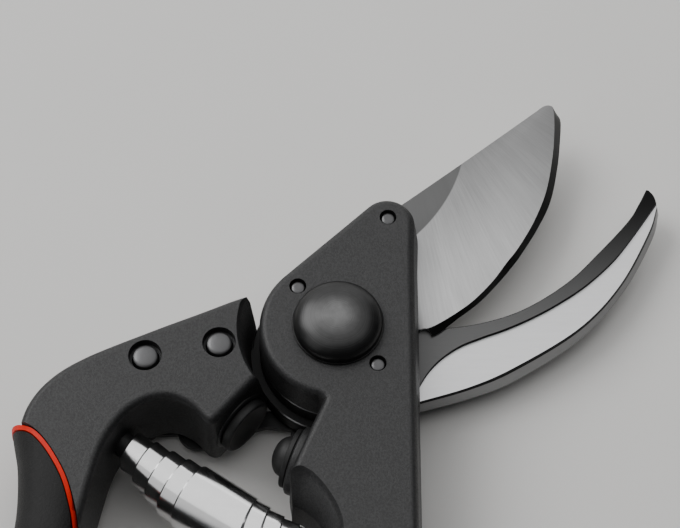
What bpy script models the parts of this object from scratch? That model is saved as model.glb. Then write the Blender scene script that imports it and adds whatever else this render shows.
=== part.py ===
"""Bypass pruner, jaws open, lying on the end of its pivot bolt and on its two grips.

Lengths below are millimetres; the meshes are made in metres.
The origin is the flat end of the pivot bolt, on the pivot axis. +Y runs along the blade
side towards the blade's tip, +X towards the hooked anvil blade, +Z up through the pivot.
The blade side stands still, and the anvil side swings about the Z axis.
"""
from math import acos, atan2, cos, degrees, hypot, pi, radians, sin

import bmesh
import bpy
from mathutils import Matrix, Vector

MM = 0.001
GAP = 0.3

# ---------------------------------------------------------------- heights
REST_Z = 0.0
NUT_LOW, NUT_HIGH = 0.6, 4.2
HANDLE_LOW, HANDLE_TOP = 4.2, 22.0
ANVIL_LOW, ANVIL_HIGH = 4.5, 8.9
BLADE_LOW, BLADE_HIGH = 9.2, 13.0
HEAD_LOW = 13.3
DOME_HIGH = 27.0
MID_Z = 12.0

# ---------------------------------------------------------------- pivot
BOLT_RADIUS = 5.0
BOLT_END_RADIUS = 3.8
DOME_RADIUS = 8.75
BUSH_RADIUS = 6.7
NUT_RADIUS = 8.2
NUT_TEETH = 24
TOOTH_DEPTH = 0.8
CLOSING_DEG = 22.5

# ---------------------------------------------------------------- blade side
HEAD_RADIUS = 14.8
LOBE_CENTRE = (9.8, 23.0)
LOBE_RADIUS = 4.8
PIN_PLACES = ((10.0, 24.0), (-7.9, 8.4), (7.7, -8.4))
PIN_RADIUS = 1.35
CLEARANCE_RADIUS = 20.2
STOP_CENTRE = (-6.4, -25.0)
STOP_DEG = 158.7
SEAT_CENTRE = (-2.9, -43.5)
SEAT_DEG = 171.0
SEAT_BORE_RADIUS = 4.3
HOLLOW_CENTRE = (-8.6, -41.4)
HOLLOW_RADIUS = 7.2
HOLLOW_MOUTH_RADIUS = 9.6
HOLLOW_SHOULDER_Z = 13.0
STUD_PLACE = (-4.0, -27.0)
STUD_RADIUS = 1.3

# ---------------------------------------------------------------- anvil side
PLATE_RADIUS = 17.2
RIVET_PLACES = ((-37.25, -6.7), (-23.04, -3.9))
RIVET_RADIUS = 2.4
TANG_HALF_WIDTH = 4.2
HANDLE_END_RADIUS = 19.6
CUSHION_CENTRE = (-19.75, -15.66)
CUSHION_DEG = -40.8
BOSS_CENTRE = (-41.0, -21.5)
BOSS_DEG = -41.0
SEGMENT_SCREW_PLACE = (19.6, -1.6)
SEGMENT_SCREW_TOP = 7.3

# ---------------------------------------------------------------- return spring
SPRING_PATH = ((-40.4, -22.1), (-28.5, -32.5), (-19.0, -41.0), (-3.02, -43.48))
SPRING_END_RADIUS = 3.7
SPRING_MIDDLE_RADIUS = 6.9
SPRING_WALL = 0.9

# ---------------------------------------------------------------- thumb catch
CATCH_PLACE = (-27.5, -14.0)
CATCH_TRAVEL_DEG = 28.0
CATCH_LOW, CATCH_HIGH = 2.4, 3.9

# ---------------------------------------------------------------- grips: x, y, half width, half height
ANVIL_GRIP_LINE = (
    (-55.2, -19.2, 7.8, 9.6),
    (-54.2, -29.0, 7.0, 10.2),
    (-54.0, -42.0, 7.2, 11.0),
    (-56.5, -58.0, 8.4, 11.8),
    (-60.5, -74.0, 9.2, 12.0),
    (-65.5, -92.0, 9.2, 12.0),
    (-70.5, -110.0, 8.6, 11.6),
    (-75.0, -126.0, 8.0, 11.0),
    (-76.6, -131.5, 6.6, 9.6),
    (-77.6, -134.6, 3.2, 6.0),
)
BLADE_GRIP_LINE = (
    (7.6, -43.0, 9.0, 9.6),
    (7.4, -54.0, 8.4, 10.4),
    (7.2, -64.0, 8.6, 11.2),
    (6.6, -78.0, 9.2, 12.0),
    (5.6, -94.0, 9.2, 12.0),
    (5.2, -110.0, 8.8, 11.8),
    (6.2, -128.0, 8.2, 11.2),
    (8.4, -144.0, 7.8, 10.8),
    (9.3, -149.6, 6.4, 9.6),
    (9.9, -153.0, 3.2, 6.0),
)
CORE_WALL = 3.4
TRIM_WIDTH = 1.0
RING_SIDES = 16


# ================================================================ plan outlines
def arc(centre, radius, start_deg, end_deg, steps):
    """Points along a circular arc, both ends included."""
    points = []
    for i in range(steps + 1):
        a = radians(start_deg + (end_deg - start_deg) * i / steps)
        points.append((centre[0] + radius * cos(a), centre[1] + radius * sin(a)))
    return points


def smooth(points, steps=3):
    """A Catmull-Rom curve through points of any dimension, both ends included."""
    first = tuple(2 * a - b for a, b in zip(points[0], points[1]))
    last = tuple(2 * a - b for a, b in zip(points[-1], points[-2]))
    knots = [first, *points, last]
    out = []
    for p0, p1, p2, p3 in zip(knots, knots[1:], knots[2:], knots[3:]):
        for i in range(steps):
            t = i / steps
            out.append(tuple(
                0.5 * (2 * b + (c - a) * t + (2 * a - 5 * b + 4 * c - d) * t * t
                       + (3 * b - a - 3 * c + d) * t ** 3)
                for a, b, c, d in zip(p0, p1, p2, p3)))
    out.append(tuple(points[-1]))
    return out


def tidy(points, nearest=0.05):
    """The outline without points that repeat the one before."""
    kept = []
    for p in points:
        if not kept or hypot(p[0] - kept[-1][0], p[1] - kept[-1][1]) > nearest:
            kept.append(p)
    if hypot(kept[0][0] - kept[-1][0], kept[0][1] - kept[-1][1]) <= nearest:
        kept.pop()
    return kept


def inset(outline, distance):
    """A counter-clockwise outline moved inwards; a negative distance moves it outwards."""
    moved = []
    count = len(outline)
    for i, p in enumerate(outline):
        before = outline[i - 1]
        after = outline[(i + 1) % count]
        d0 = Vector((p[0] - before[0], p[1] - before[1])).normalized()
        d1 = Vector((after[0] - p[0], after[1] - p[1])).normalized()
        n0 = Vector((-d0.y, d0.x))
        n1 = Vector((-d1.y, d1.x))
        mitre = (n0 + n1).normalized()
        reach = distance / max(mitre.dot(n0), 0.5)
        moved.append((p[0] + mitre.x * reach, p[1] + mitre.y * reach))
    return moved


def shifted(line, distance):
    """An open line moved sideways, to its left for a positive distance."""
    moved = []
    for i, p in enumerate(line):
        before = line[max(i - 1, 0)]
        after = line[min(i + 1, len(line) - 1)]
        d = Vector((after[0] - before[0], after[1] - before[1])).normalized()
        moved.append((p[0] - d.y * distance, p[1] + d.x * distance))
    return moved


def polar(point):
    """Radius and direction in degrees of a plan point, seen from the pivot."""
    return hypot(point[0], point[1]), degrees(atan2(point[1], point[0]))


def turned(points, degrees_ccw, centre=(0.0, 0.0)):
    """Plan points turned about a centre."""
    c = cos(radians(degrees_ccw))
    s = sin(radians(degrees_ccw))
    out = []
    for x, y in points:
        dx = x - centre[0]
        dy = y - centre[1]
        out.append((centre[0] + c * dx - s * dy, centre[1] + s * dx + c * dy))
    return out


def lobe_tangent_deg():
    """Direction of the normal of the straight edge that touches the head's circle and its lobe."""
    apart, along = polar(LOBE_CENTRE)
    return along + degrees(acos((HEAD_RADIUS - LOBE_RADIUS) / apart))


def blade_handle_outline():
    """Top face of the blade handle, from the grip round the head and back."""
    tangent = lobe_tangent_deg()
    right = LOBE_CENTRE[0] + LOBE_RADIUS
    neck_top = (-2.6, -15.0)
    points = [(right - 0.6, -70.0), (right - 0.2, -44.0), (right - 0.2, -20.0), (right - 0.2, 10.0)]
    points += arc(LOBE_CENTRE, LOBE_RADIUS, 0, tangent, 9)
    points += arc((0, 0), HEAD_RADIUS, tangent, 252, 18)
    points += [neck_top, (-5.4, -22.4), (-8.2, -30.2)]
    points += smooth([(-8.2, -30.2), (-6.2, -31.0), (-2.3, -35.9), (-0.2, -42.2), (-0.2, -52.0), (-1.0, -70.0)])
    return tidy(points)


def cutting_blade_outline(edge):
    """Cutting blade: edge is True for its sharp lower outline and False for the top of the bevel."""
    spine = [(13.1, 32.3), (42.8, 55.9)]
    if edge:
        front = smooth([(44.4, 57.0), (46.9, 56.9), (47.3, 54.0), (47.0, 50.4), (45.4, 40.0), (41.1, 28.3),
                        (34.4, 17.8), (28.5, 11.2), (24.0, 7.5), (19.4, 3.9)], 3)
    else:
        front = smooth([(43.6, 56.2), (45.2, 56.0), (45.6, 53.4), (45.5, 50.0), (44.0, 39.2), (39.9, 27.2),
                        (33.2, 17.0), (27.0, 9.6), (22.6, 6.2), (19.0, 3.6)], 3)
    notch = [(18.6, 4.6), (17.6, 5.0), (16.6, 4.6), (15.6, 2.0)]
    heel = arc((0, 0), 14.2, -20, -227, 16)
    back = [(5.6, 24.6), (8.8, 28.9)]
    outline = spine + front + notch + heel + back
    return tidy(outline[::-1], 0.01)


def anvil_blade_outline(top):
    """Anvil blade: top is True for the upper face and False for the wider lower face."""
    tip = (64.2, 37.9)
    inner = smooth([tip, (60.1, 30.6), (53.8, 23.3), (46.8, 16.3), (37.7, 10.2), (28.8, 6.9), (19.5, 5.4)], 3)
    if top:
        outer = smooth([(16.2, -10.2), (26.2, -7.0), (35.1, -2.8), (48.5, 5.9), (57.5, 15.8), (64.2, 28.0),
                        (66.2, 34.2)], 3)
    else:
        outer = smooth([(16.4, -10.9), (26.4, -7.9), (35.6, -3.8), (49.3, 5.6), (58.6, 16.4), (65.0, 28.4),
                        (66.9, 34.2)], 3)
    end = polar(inner[-1])[1] + 42
    disc = arc((0, 0), PLATE_RADIUS, end, 171, 10)
    tang = tang_outline(PLATE_RADIUS - 0.2)
    rest = arc((0, 0), PLATE_RADIUS, 213, 318, 9)
    return tidy(outer + inner + disc + tang + rest)


def tang_outline(start_radius, extra=0.0):
    """The tang, from the plate outwards: a strip along the line of the rivets with a round end."""
    far, near = RIVET_PLACES
    direction = degrees(atan2(far[1] - near[1], far[0] - near[0]))
    half = TANG_HALF_WIDTH + extra
    begin = turned([(start_radius, -half), (start_radius, half)], direction)
    end = arc(far, half, direction - 90, direction + 90, 8)
    return [begin[0], *end, begin[1]]


def anvil_handle_outline():
    """Top face of the anvil handle, from the end at the pivot round the outside and back."""
    outside = smooth([(-18.9, 5.7), (-26.9, 2.4), (-36.2, -1.5), (-48.5, -7.1), (-55.2, -11.8), (-59.0, -17.4),
                      (-60.2, -24.0), (-60.0, -34.0), (-58.0, -52.0)])
    inside = smooth([(-48.6, -52.0), (-48.4, -42.2), (-46.3, -31.1), (-44.4, -24.4), (-41.2, -19.1),
                     (-38.0, -16.4), (-34.8, -15.2), (-31.4, -15.2), (-27.6, -17.2), (-24.1, -20.7)])
    end = arc((0, 0), HANDLE_END_RADIUS, 215, 170, 5)
    return tidy(outside + inside + end)


def anvil_trim_line():
    """Where the anvil handle meets its grip, from the inner edge to the outer one; grip on the left."""
    return smooth([(-36.0, -54.0), (-45.0, -50.6), (-48.4, -45.0), (-49.3, -38.1), (-51.8, -31.1),
                   (-56.4, -24.0), (-60.9, -20.8), (-70.0, -18.0)])


def blade_trim_line():
    """Where the blade handle meets its grip, from the outer edge to the inner one; grip on the left."""
    return smooth([(23.0, -43.0), (16.6, -45.2), (11.8, -48.6), (7.4, -55.0), (3.4, -61.6),
                   (0.4, -65.6), (-4.0, -68.6), (-12.0, -71.0)])


# ================================================================ meshes
def finish(name, colour, roughness, metallic):
    """A Principled material."""
    material = bpy.data.materials.new(name)
    material.use_nodes = True
    shader = material.node_tree.nodes["Principled BSDF"]
    shader.inputs["Base Color"].default_value = (*colour, 1.0)
    shader.inputs["Roughness"].default_value = roughness
    shader.inputs["Metallic"].default_value = metallic
    material.diffuse_color = (*colour, 1.0)
    return material


def solid(name, verts, faces, material=None, parent=None):
    """An object from millimetre points in world space, faces turned outwards, under its parent."""
    mesh = bpy.data.meshes.new(name)
    mesh.from_pydata([tuple(MM * c for c in v) for v in verts], [], faces)
    bm = bmesh.new()
    bm.from_mesh(mesh)
    bmesh.ops.remove_doubles(bm, verts=bm.verts, dist=1e-6)
    bmesh.ops.recalc_face_normals(bm, faces=bm.faces)
    bm.to_mesh(mesh)
    bm.free()
    mesh.shade_smooth()
    mesh.set_sharp_from_angle(angle=radians(35))
    piece = bpy.data.objects.new(name, mesh)
    bpy.context.scene.collection.objects.link(piece)
    if material:
        mesh.materials.append(material)
    if parent:
        mesh.transform(Matrix.Translation(-parent.location))
        piece.parent = parent
    return piece


def stack(rings):
    """Points and faces of a closed solid through rings that have as many points each."""
    count = len(rings[0])
    verts = [p for ring in rings for p in ring]
    faces = [tuple(range(count))[::-1]]
    for k in range(len(rings) - 1):
        for i in range(count):
            j = (i + 1) % count
            faces.append((k * count + i, k * count + j, (k + 1) * count + j, (k + 1) * count + i))
    faces.append(tuple(range((len(rings) - 1) * count, len(rings) * count)))
    return verts, faces


def plate(name, outline, levels, material=None, parent=None):
    """A plate with an upright wall: levels are (height, inset) from low to high."""
    rings = []
    for z, amount in levels:
        rings.append([(x, y, z) for x, y in inset(outline, amount)])
    return solid(name, *stack(rings), material, parent)


def between(name, low_outline, low_z, high_outline, high_z, material=None, parent=None):
    """A plate whose lower and upper outlines differ."""
    low = [(x, y, low_z) for x, y in low_outline]
    high = [(x, y, high_z) for x, y in high_outline]
    return solid(name, *stack([low, high]), material, parent)


def placed(points, centre, direction_deg):
    """Points given along a local Z axis, laid flat so that Z points in the plan direction."""
    turn = Matrix.Rotation(radians(direction_deg), 4, "Z") @ Matrix.Rotation(pi / 2, 4, "Y")
    move = Matrix.Translation(Vector(centre)) @ turn
    return [tuple(move @ Vector(p)) for p in points]


def turning(profile, sides, hollow=False):
    """Points and faces of a turned solid: profile is (radius, height), low to high if solid."""
    verts = []
    for radius, z in profile:
        for i in range(sides):
            a = 2 * pi * i / sides
            verts.append((radius * cos(a), radius * sin(a), z))
    faces = []
    count = len(profile)
    for k in range(count if hollow else count - 1):
        m = (k + 1) % count
        for i in range(sides):
            j = (i + 1) % sides
            faces.append((k * sides + i, k * sides + j, m * sides + j, m * sides + i))
    if not hollow:
        faces.append(tuple(range(sides))[::-1])
        faces.append(tuple(range((count - 1) * sides, count * sides)))
    return verts, faces


def upright(name, place, profile, sides, material=None, parent=None, hollow=False):
    """A turned solid that stands on a plan place, its profile in true heights."""
    verts, faces = turning(profile, sides, hollow)
    verts = [(x + place[0], y + place[1], z) for x, y, z in verts]
    return solid(name, verts, faces, material, parent)


def lying(name, place, direction_deg, profile, sides, material=None, parent=None, hollow=False):
    """A turned solid that lies along a plan direction at the middle height."""
    verts, faces = turning(profile, sides, hollow)
    verts = placed(verts, (place[0], place[1], MID_Z), direction_deg)
    return solid(name, verts, faces, material, parent)


def bar(name, line, shrink, stations, material=None, parent=None):
    """A bar of rounded section along a grip line, smaller by shrink all round."""
    path = smooth(line, 2)[stations[0]:stations[1]]
    rings = []
    for i, (x, y, half_width, half_height) in enumerate(path):
        before = path[max(i - 1, 0)]
        after = path[min(i + 1, len(path) - 1)]
        across = Vector((before[1] - after[1], after[0] - before[0])).normalized()
        ring = []
        for k in range(RING_SIDES):
            a = 2 * pi * k / RING_SIDES
            side = abs(cos(a)) ** 0.8 * (1 if cos(a) > 0 else -1) * (half_width - shrink)
            rise = abs(sin(a)) ** 0.8 * (1 if sin(a) > 0 else -1) * (half_height - shrink)
            ring.append((x + across.x * side, y + across.y * side, MID_Z + rise))
        rings.append(ring)
    return solid(name, *stack(rings), material, parent)


def combine(target, tool, operation):
    """A Boolean of target with tool, which becomes a guide."""
    tool.hide_render = True
    tool.display_type = "WIRE"
    modifier = target.modifiers.new(operation.lower(), "BOOLEAN")
    modifier.operation = operation
    modifier.object = tool
    modifier.solver = "EXACT"


def drill(target, place, radius, low, high, sides=16):
    """An upright round hole."""
    tool = upright("drill", place, [(radius, low), (radius, high)], sides)
    combine(target, tool, "DIFFERENCE")


# ================================================================ blade side
def region_beside(line, offset, far_points):
    """Plan region on one side of a trim line: the line moved by offset, closed through far points."""
    points = shifted(line, offset) + list(far_points)
    area = sum(a[0] * b[1] - b[0] * a[1] for a, b in zip(points, points[1:] + points[:1]))
    return points if area > 0 else points[::-1]


def tall(name, outline):
    """A guide prism taller than the pruner."""
    return plate(name, outline, [(-5.0, 0.0), (32.0, 0.0)])


def make_blade_handle(materials, side):
    """Head plate over the blade, thick neck, spring seat, and the core that the grip slides on."""
    handle = plate("blade_handle", blade_handle_outline(),
                   [(HANDLE_LOW, 0.4), (HANDLE_LOW + 1.2, -0.9), (19.6, -0.9), (21.2, -0.5), (HANDLE_TOP, 0.3)],
                   materials["coat"], side)
    seat_outline = [(4.0, -58.0), (4.0, -28.4), (-6.2, -28.4), (-8.8, -31.0), (-8.9, -50.0), (-4.6, -57.0)]
    seat = plate("seat_block", seat_outline, [(4.6, 0.8), (5.8, 0.0), (20.0, 0.0), (21.4, 1.2)])
    combine(handle, seat, "UNION")
    grip_side = region_beside(blade_trim_line(), -TRIM_WIDTH / 2 - GAP, [(-30, -90), (40, -90)])
    combine(handle, tall("below_trim", grip_side), "DIFFERENCE")
    core = bar("blade_core", BLADE_GRIP_LINE, CORE_WALL, (1, 17))
    combine(handle, core, "UNION")
    jaw_room = [(40, -8), (40, 70), (-40, 70), (-40, -8)]
    jaw_room += arc((0, 0), CLEARANCE_RADIUS, 203, 337, 16)
    combine(handle, plate("jaw_room", jaw_room, [(-2.0, 0.0), (HEAD_LOW, 0.0)]), "DIFFERENCE")
    pad = lying("stop_boss", STOP_CENTRE, STOP_DEG, [(6.9, -4.0), (6.9, 1.4), (6.3, 2.0)], 24)
    combine(handle, pad, "UNION")
    hollow = upright("spring_hollow", HOLLOW_CENTRE,
                     [(HOLLOW_RADIUS, -1.0), (HOLLOW_RADIUS, HOLLOW_SHOULDER_Z),
                      (HOLLOW_MOUTH_RADIUS, HANDLE_TOP), (HOLLOW_MOUTH_RADIUS + 1.5, HANDLE_TOP + 3.0)], 32)
    combine(handle, hollow, "DIFFERENCE")
    bore = lying("seat_bore", SEAT_CENTRE, SEAT_DEG, [(SEAT_BORE_RADIUS, 0.0), (SEAT_BORE_RADIUS, 7.0)], 24)
    combine(handle, bore, "DIFFERENCE")
    boss = lying("seat_boss", SEAT_CENTRE, SEAT_DEG, [(2.4, -2.0), (2.4, 2.6), (2.0, 3.2)], 16)
    combine(handle, boss, "UNION")
    drill(handle, (0, 0), BUSH_RADIUS + GAP, 0, 30, 32)
    for place in PIN_PLACES:
        drill(handle, place, PIN_RADIUS + GAP, 0, 30)
    drill(handle, STUD_PLACE, STUD_RADIUS + GAP, 0, 9.3)
    stem = lying("stop_hole", STOP_CENTRE, STOP_DEG, [(2.3, -4.0), (2.3, 4.0)], 16)
    combine(handle, stem, "DIFFERENCE")


def make_cutting_blade(materials, side):
    """Flat blade with a bevel on its outer, cutting side."""
    blade = between("cutting_blade", cutting_blade_outline(True), BLADE_LOW,
                    cutting_blade_outline(False), BLADE_HIGH, materials["ground"], side)
    drill(blade, (0, 0), BUSH_RADIUS + GAP, 0, 30, 32)
    for place in PIN_PLACES:
        drill(blade, place, PIN_RADIUS + GAP, 0, 30)


def make_pins(materials, side):
    """Three pins through the head and the blade, and the bearing sleeve."""
    for number, place in enumerate(PIN_PLACES, 1):
        profile = [(PIN_RADIUS, BLADE_LOW + 0.2), (PIN_RADIUS, 21.3), (PIN_RADIUS - 0.3, 21.6)]
        upright(f"blade_pin_{number}", place, profile, 16, materials["pin"], side)
    inner = BOLT_RADIUS + GAP
    upright("pivot_bush", (0, 0), [(inner, 9.4), (BUSH_RADIUS, 9.4), (BUSH_RADIUS, 21.8), (inner, 21.8)],
            32, materials["bronze"], side, hollow=True)
    upright("catch_stud", STUD_PLACE, [(STUD_RADIUS - 0.2, 1.2), (STUD_RADIUS, 1.5), (STUD_RADIUS, 9.0)],
            16, materials["pin"], side)


def make_shock_absorber(materials, side):
    """Rubber dome with a stem that plugs into the blade handle."""
    dome = [(1.9, -3.6), (1.9, 2.3), (5.4, 2.3), (5.4, 3.4), (4.9, 4.8), (3.6, 5.9), (1.7, 6.4)]
    lying("shock_absorber", STOP_CENTRE, STOP_DEG, dome, 20, materials["rubber"], side)


def make_grip(name, line, trim_line, far_points, core_end, materials, side):
    """Sleeve over a handle's core, and the accent band at its upper end."""
    grip = bar(f"{name}_grip", line, 0.0, (0, len(line) * 2), materials["grip"], side)
    hollow = bar(f"{name}_hollow", line, CORE_WALL - GAP, (0, core_end))
    handle_side = region_beside(trim_line, TRIM_WIDTH / 2 + GAP, far_points)
    combine(grip, tall(f"{name}_above", handle_side), "DIFFERENCE")
    combine(grip, hollow, "DIFFERENCE")
    band_outline = shifted(trim_line, TRIM_WIDTH / 2) + shifted(trim_line, -TRIM_WIDTH / 2)[::-1]
    band = plate(f"{name}_grip_trim", band_outline, [(-5.0, 0.0), (32.0, 0.0)], materials["accent"], side)
    skin = bar(f"{name}_skin", line, 0.0, (0, len(line) * 2))
    combine(band, skin, "INTERSECT")
    combine(band, hollow, "DIFFERENCE")


# ================================================================ anvil side
def make_anvil_handle(materials, side):
    """Forged handle: bumper face, spring boss, bed for the tang, and the core inside the grip."""
    handle = plate("anvil_handle", anvil_handle_outline(),
                   [(HANDLE_LOW, 0.4), (HANDLE_LOW + 1.2, -0.7), (19.6, -0.7), (21.2, -0.4), (HANDLE_TOP, 0.3)],
                   materials["coat"], side)
    grip_side = region_beside(anvil_trim_line(), -TRIM_WIDTH / 2 - GAP, [(-90, -18), (-90, -90), (-36, -90)])
    combine(handle, tall("below_anvil_trim", grip_side), "DIFFERENCE")
    bed = plate("tang_bed", tang_outline(10.0, GAP), [(0.0, 0.0), (ANVIL_HIGH + GAP, 0.0)])
    combine(handle, bed, "DIFFERENCE")
    for place in RIVET_PLACES:
        drill(handle, place, RIVET_RADIUS + GAP, 0, 30)
        drill(handle, place, 3.15, 20.6, 30, 20)
    drill(handle, CATCH_PLACE, 1.5 + GAP, 0, 11.3)
    collar = lying("cushion_collar", CUSHION_CENTRE, CUSHION_DEG, [(6.4, -3.0), (6.4, 0.5), (5.9, 0.9)], 24)
    combine(handle, collar, "UNION")
    stem = lying("cushion_hole", CUSHION_CENTRE, CUSHION_DEG, [(2.3, -5.0), (2.3, 3.0)], 16)
    combine(handle, stem, "DIFFERENCE")
    core = bar("anvil_core", ANVIL_GRIP_LINE, CORE_WALL, (1, 17))
    combine(handle, core, "UNION")
    boss = lying("spring_boss", BOSS_CENTRE, BOSS_DEG, [(2.5, -4.0), (2.5, 1.8), (2.0, 2.4)], 16)
    combine(handle, boss, "UNION")


def make_anvil_blade(materials, side):
    """Hooked counter blade in one piece with the plate round the pivot and the tang."""
    blade = between("anvil_blade", anvil_blade_outline(False), ANVIL_LOW,
                    anvil_blade_outline(True), ANVIL_HIGH, materials["forged"], side)
    drill(blade, (0, 0), BOLT_RADIUS + GAP, 0, 30, 32)
    for place in RIVET_PLACES:
        drill(blade, place, RIVET_RADIUS + GAP, 0, 30)
    drill(blade, SEGMENT_SCREW_PLACE, 1.3 + GAP, 0, SEGMENT_SCREW_TOP + GAP)


def make_rivets(materials, side):
    """Two rivets through the handle and the tang, their heads sunk in the top face."""
    for number, place in enumerate(RIVET_PLACES, 1):
        profile = [(RIVET_RADIUS, ANVIL_LOW + 0.1), (RIVET_RADIUS, 20.9), (2.7, 20.9), (2.7, 21.4), (2.4, 21.7)]
        upright(f"anvil_rivet_{number}", place, profile, 20, materials["pin"], side)


def make_cushion(materials, side):
    """Rubber pad with a dished face and a stem that plugs into the anvil handle."""
    pad = [(1.9, -4.6), (1.9, 1.2), (5.6, 1.2), (5.85, 1.6), (5.85, 2.7), (5.3, 3.0), (4.4, 2.5), (2.0, 2.2)]
    lying("cushion", CUSHION_CENTRE, CUSHION_DEG, pad, 20, materials["rubber"], side)


def make_pivot(materials, side):
    """Domed bolt, toothed nut, and the toothed segment that locks it."""
    dome = [(BOLT_END_RADIUS - 0.3, REST_Z), (BOLT_END_RADIUS, 0.3), (BOLT_END_RADIUS, 4.3),
            (BOLT_RADIUS, 4.4), (BOLT_RADIUS, HANDLE_TOP + GAP), (DOME_RADIUS, HANDLE_TOP + GAP),
            (DOME_RADIUS, 23.3)]
    rise = DOME_HIGH - 23.3
    dome += [(DOME_RADIUS * cos(radians(a)) ** 0.8, 23.3 + rise * sin(radians(a))) for a in (18, 36, 54, 72)]
    dome.append((1.2, DOME_HIGH))
    upright("pivot_bolt", (0, 0), dome, 32, materials["satin"], side)
    teeth = []
    for i in range(NUT_TEETH):
        middle = 360 / NUT_TEETH * i
        for offset, radius in ((-5.2, NUT_RADIUS - TOOTH_DEPTH), (-2.2, NUT_RADIUS), (2.2, NUT_RADIUS),
                               (5.2, NUT_RADIUS - TOOTH_DEPTH)):
            a = radians(middle + offset)
            teeth.append((radius * cos(a), radius * sin(a)))
    nut = plate("pivot_nut", teeth, [(NUT_LOW, 0.0), (NUT_HIGH, 0.0)], materials["satin"], side)
    drill(nut, (0, 0), BOLT_END_RADIUS + GAP, -1, 30, 24)
    segment = arc((0, 0), NUT_RADIUS + GAP, 20, -30, 8) + [(14.0, -6.6)]
    segment += arc(SEGMENT_SCREW_PLACE, 4.2, -75, 75, 8) + [(14.0, 4.2)]
    lock = plate("lock_segment", tidy(segment), [(1.4, 0.2), (1.7, 0.0), (NUT_HIGH, 0.0)],
                 materials["satin"], side)
    drill(lock, SEGMENT_SCREW_PLACE, 1.3 + GAP, -1, 30)
    upright("segment_screw", SEGMENT_SCREW_PLACE,
            [(2.4, 0.3), (2.7, 0.6), (2.7, 1.1), (1.3, 1.1), (1.3, SEGMENT_SCREW_TOP)], 16, materials["pin"], side)


def make_return_spring(materials, side):
    """Outer shape of the double-cone volute spring, a barrel open at both ends."""
    start, b1, b2, end = (Vector(p) for p in SPRING_PATH)
    stations = 12
    outer_rings = []
    inner_rings = []
    for k in range(stations + 1):
        t = k / stations
        p = (1 - t) ** 3 * start + 3 * (1 - t) ** 2 * t * b1 + 3 * (1 - t) * t * t * b2 + t ** 3 * end
        d = (1 - t) ** 2 * (b1 - start) + 2 * (1 - t) * t * (b2 - b1) + t * t * (end - b2)
        d.normalize()
        growth = min(1.0, t / 0.36, (1 - t) / 0.36)
        radius = SPRING_END_RADIUS + (SPRING_MIDDLE_RADIUS - SPRING_END_RADIUS) * growth
        for rings, r in ((outer_rings, radius), (inner_rings, radius - SPRING_WALL)):
            ring = []
            for i in range(16):
                a = 2 * pi * i / 16
                ring.append((p.x - d.y * r * cos(a), p.y + d.x * r * cos(a), MID_Z + r * sin(a)))
            rings.append(ring)
    rings = outer_rings + inner_rings[::-1]
    count = 16
    verts = [v for ring in rings for v in ring]
    faces = []
    for k in range(len(rings)):
        m = (k + 1) % len(rings)
        for i in range(count):
            j = (i + 1) % count
            faces.append((k * count + i, k * count + j, m * count + j, m * count + i))
    solid("return_spring", verts, faces, materials["chrome"], side)


# ================================================================ thumb catch
def catch_outline():
    """Lever in its unlocked place: ring, hooked arm towards the stud, and a tail for the thumb."""
    stud_closed = turned([STUD_PLACE], -CLOSING_DEG)[0]
    dx = stud_closed[0] - CATCH_PLACE[0]
    dy = stud_closed[1] - CATCH_PLACE[1]
    reach = hypot(dx, dy)
    clear = STUD_RADIUS + 0.4
    locked = arc((0, 0), 4.6, 205, 300, 8)
    locked += [(7.5, -0.6), (reach - 3.4, clear), (reach + clear, clear), (reach + clear, -1.6)]
    locked += [(reach + clear + 1.4, -2.6), (reach + clear + 3.0, -1.4), (reach + clear + 3.2, 3.0)]
    locked += [(reach + clear + 0.6, 5.6), (8.0, 5.0)]
    locked += arc((0, 0), 4.6, 60, 140, 6)
    locked += arc((-11.5, 0.6), 4.2, 110, 250, 8)
    angle = degrees(atan2(dy, dx)) + CATCH_TRAVEL_DEG
    return [(CATCH_PLACE[0] + x, CATCH_PLACE[1] + y) for x, y in turned(locked, angle)]


def make_catch(materials, catch, side):
    """Locking lever on the reverse side, its thumb pad, screw and spring washer."""
    lever = plate("thumb_catch", catch_outline(), [(CATCH_LOW, 0.3), (CATCH_LOW + 0.3, 0.0), (CATCH_HIGH, 0.0)],
                  materials["satin"], catch)
    drill(lever, CATCH_PLACE, 1.5 + GAP, -1, 30)
    stud_closed = turned([STUD_PLACE], -CLOSING_DEG)[0]
    angle = degrees(atan2(stud_closed[1] - CATCH_PLACE[1], stud_closed[0] - CATCH_PLACE[0])) + CATCH_TRAVEL_DEG
    pad_centre = turned([(CATCH_PLACE[0] - 11.5, CATCH_PLACE[1] + 0.6)], angle, CATCH_PLACE)[0]
    upright("catch_pad", pad_centre, [(2.6, 0.5), (3.6, 1.0), (3.8, 2.1)], 20, materials["rubber"], catch)
    upright("catch_screw", CATCH_PLACE,
            [(2.7, 0.3), (3.1, 0.6), (3.1, 1.3), (1.5, 1.3), (1.5, 11.0)], 20, materials["pin"], side)
    upright("catch_washer", CATCH_PLACE, [(1.8, 1.6), (3.1, 1.6), (3.1, 2.1), (1.8, 2.1)], 20,
            materials["pin"], side, hollow=True)


def empty(name, place):
    """A parent on a joint's axis."""
    parent = bpy.data.objects.new(name, None)
    parent.location = (place[0] * MM, place[1] * MM, 0.0)
    bpy.context.scene.collection.objects.link(parent)
    return parent


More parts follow.
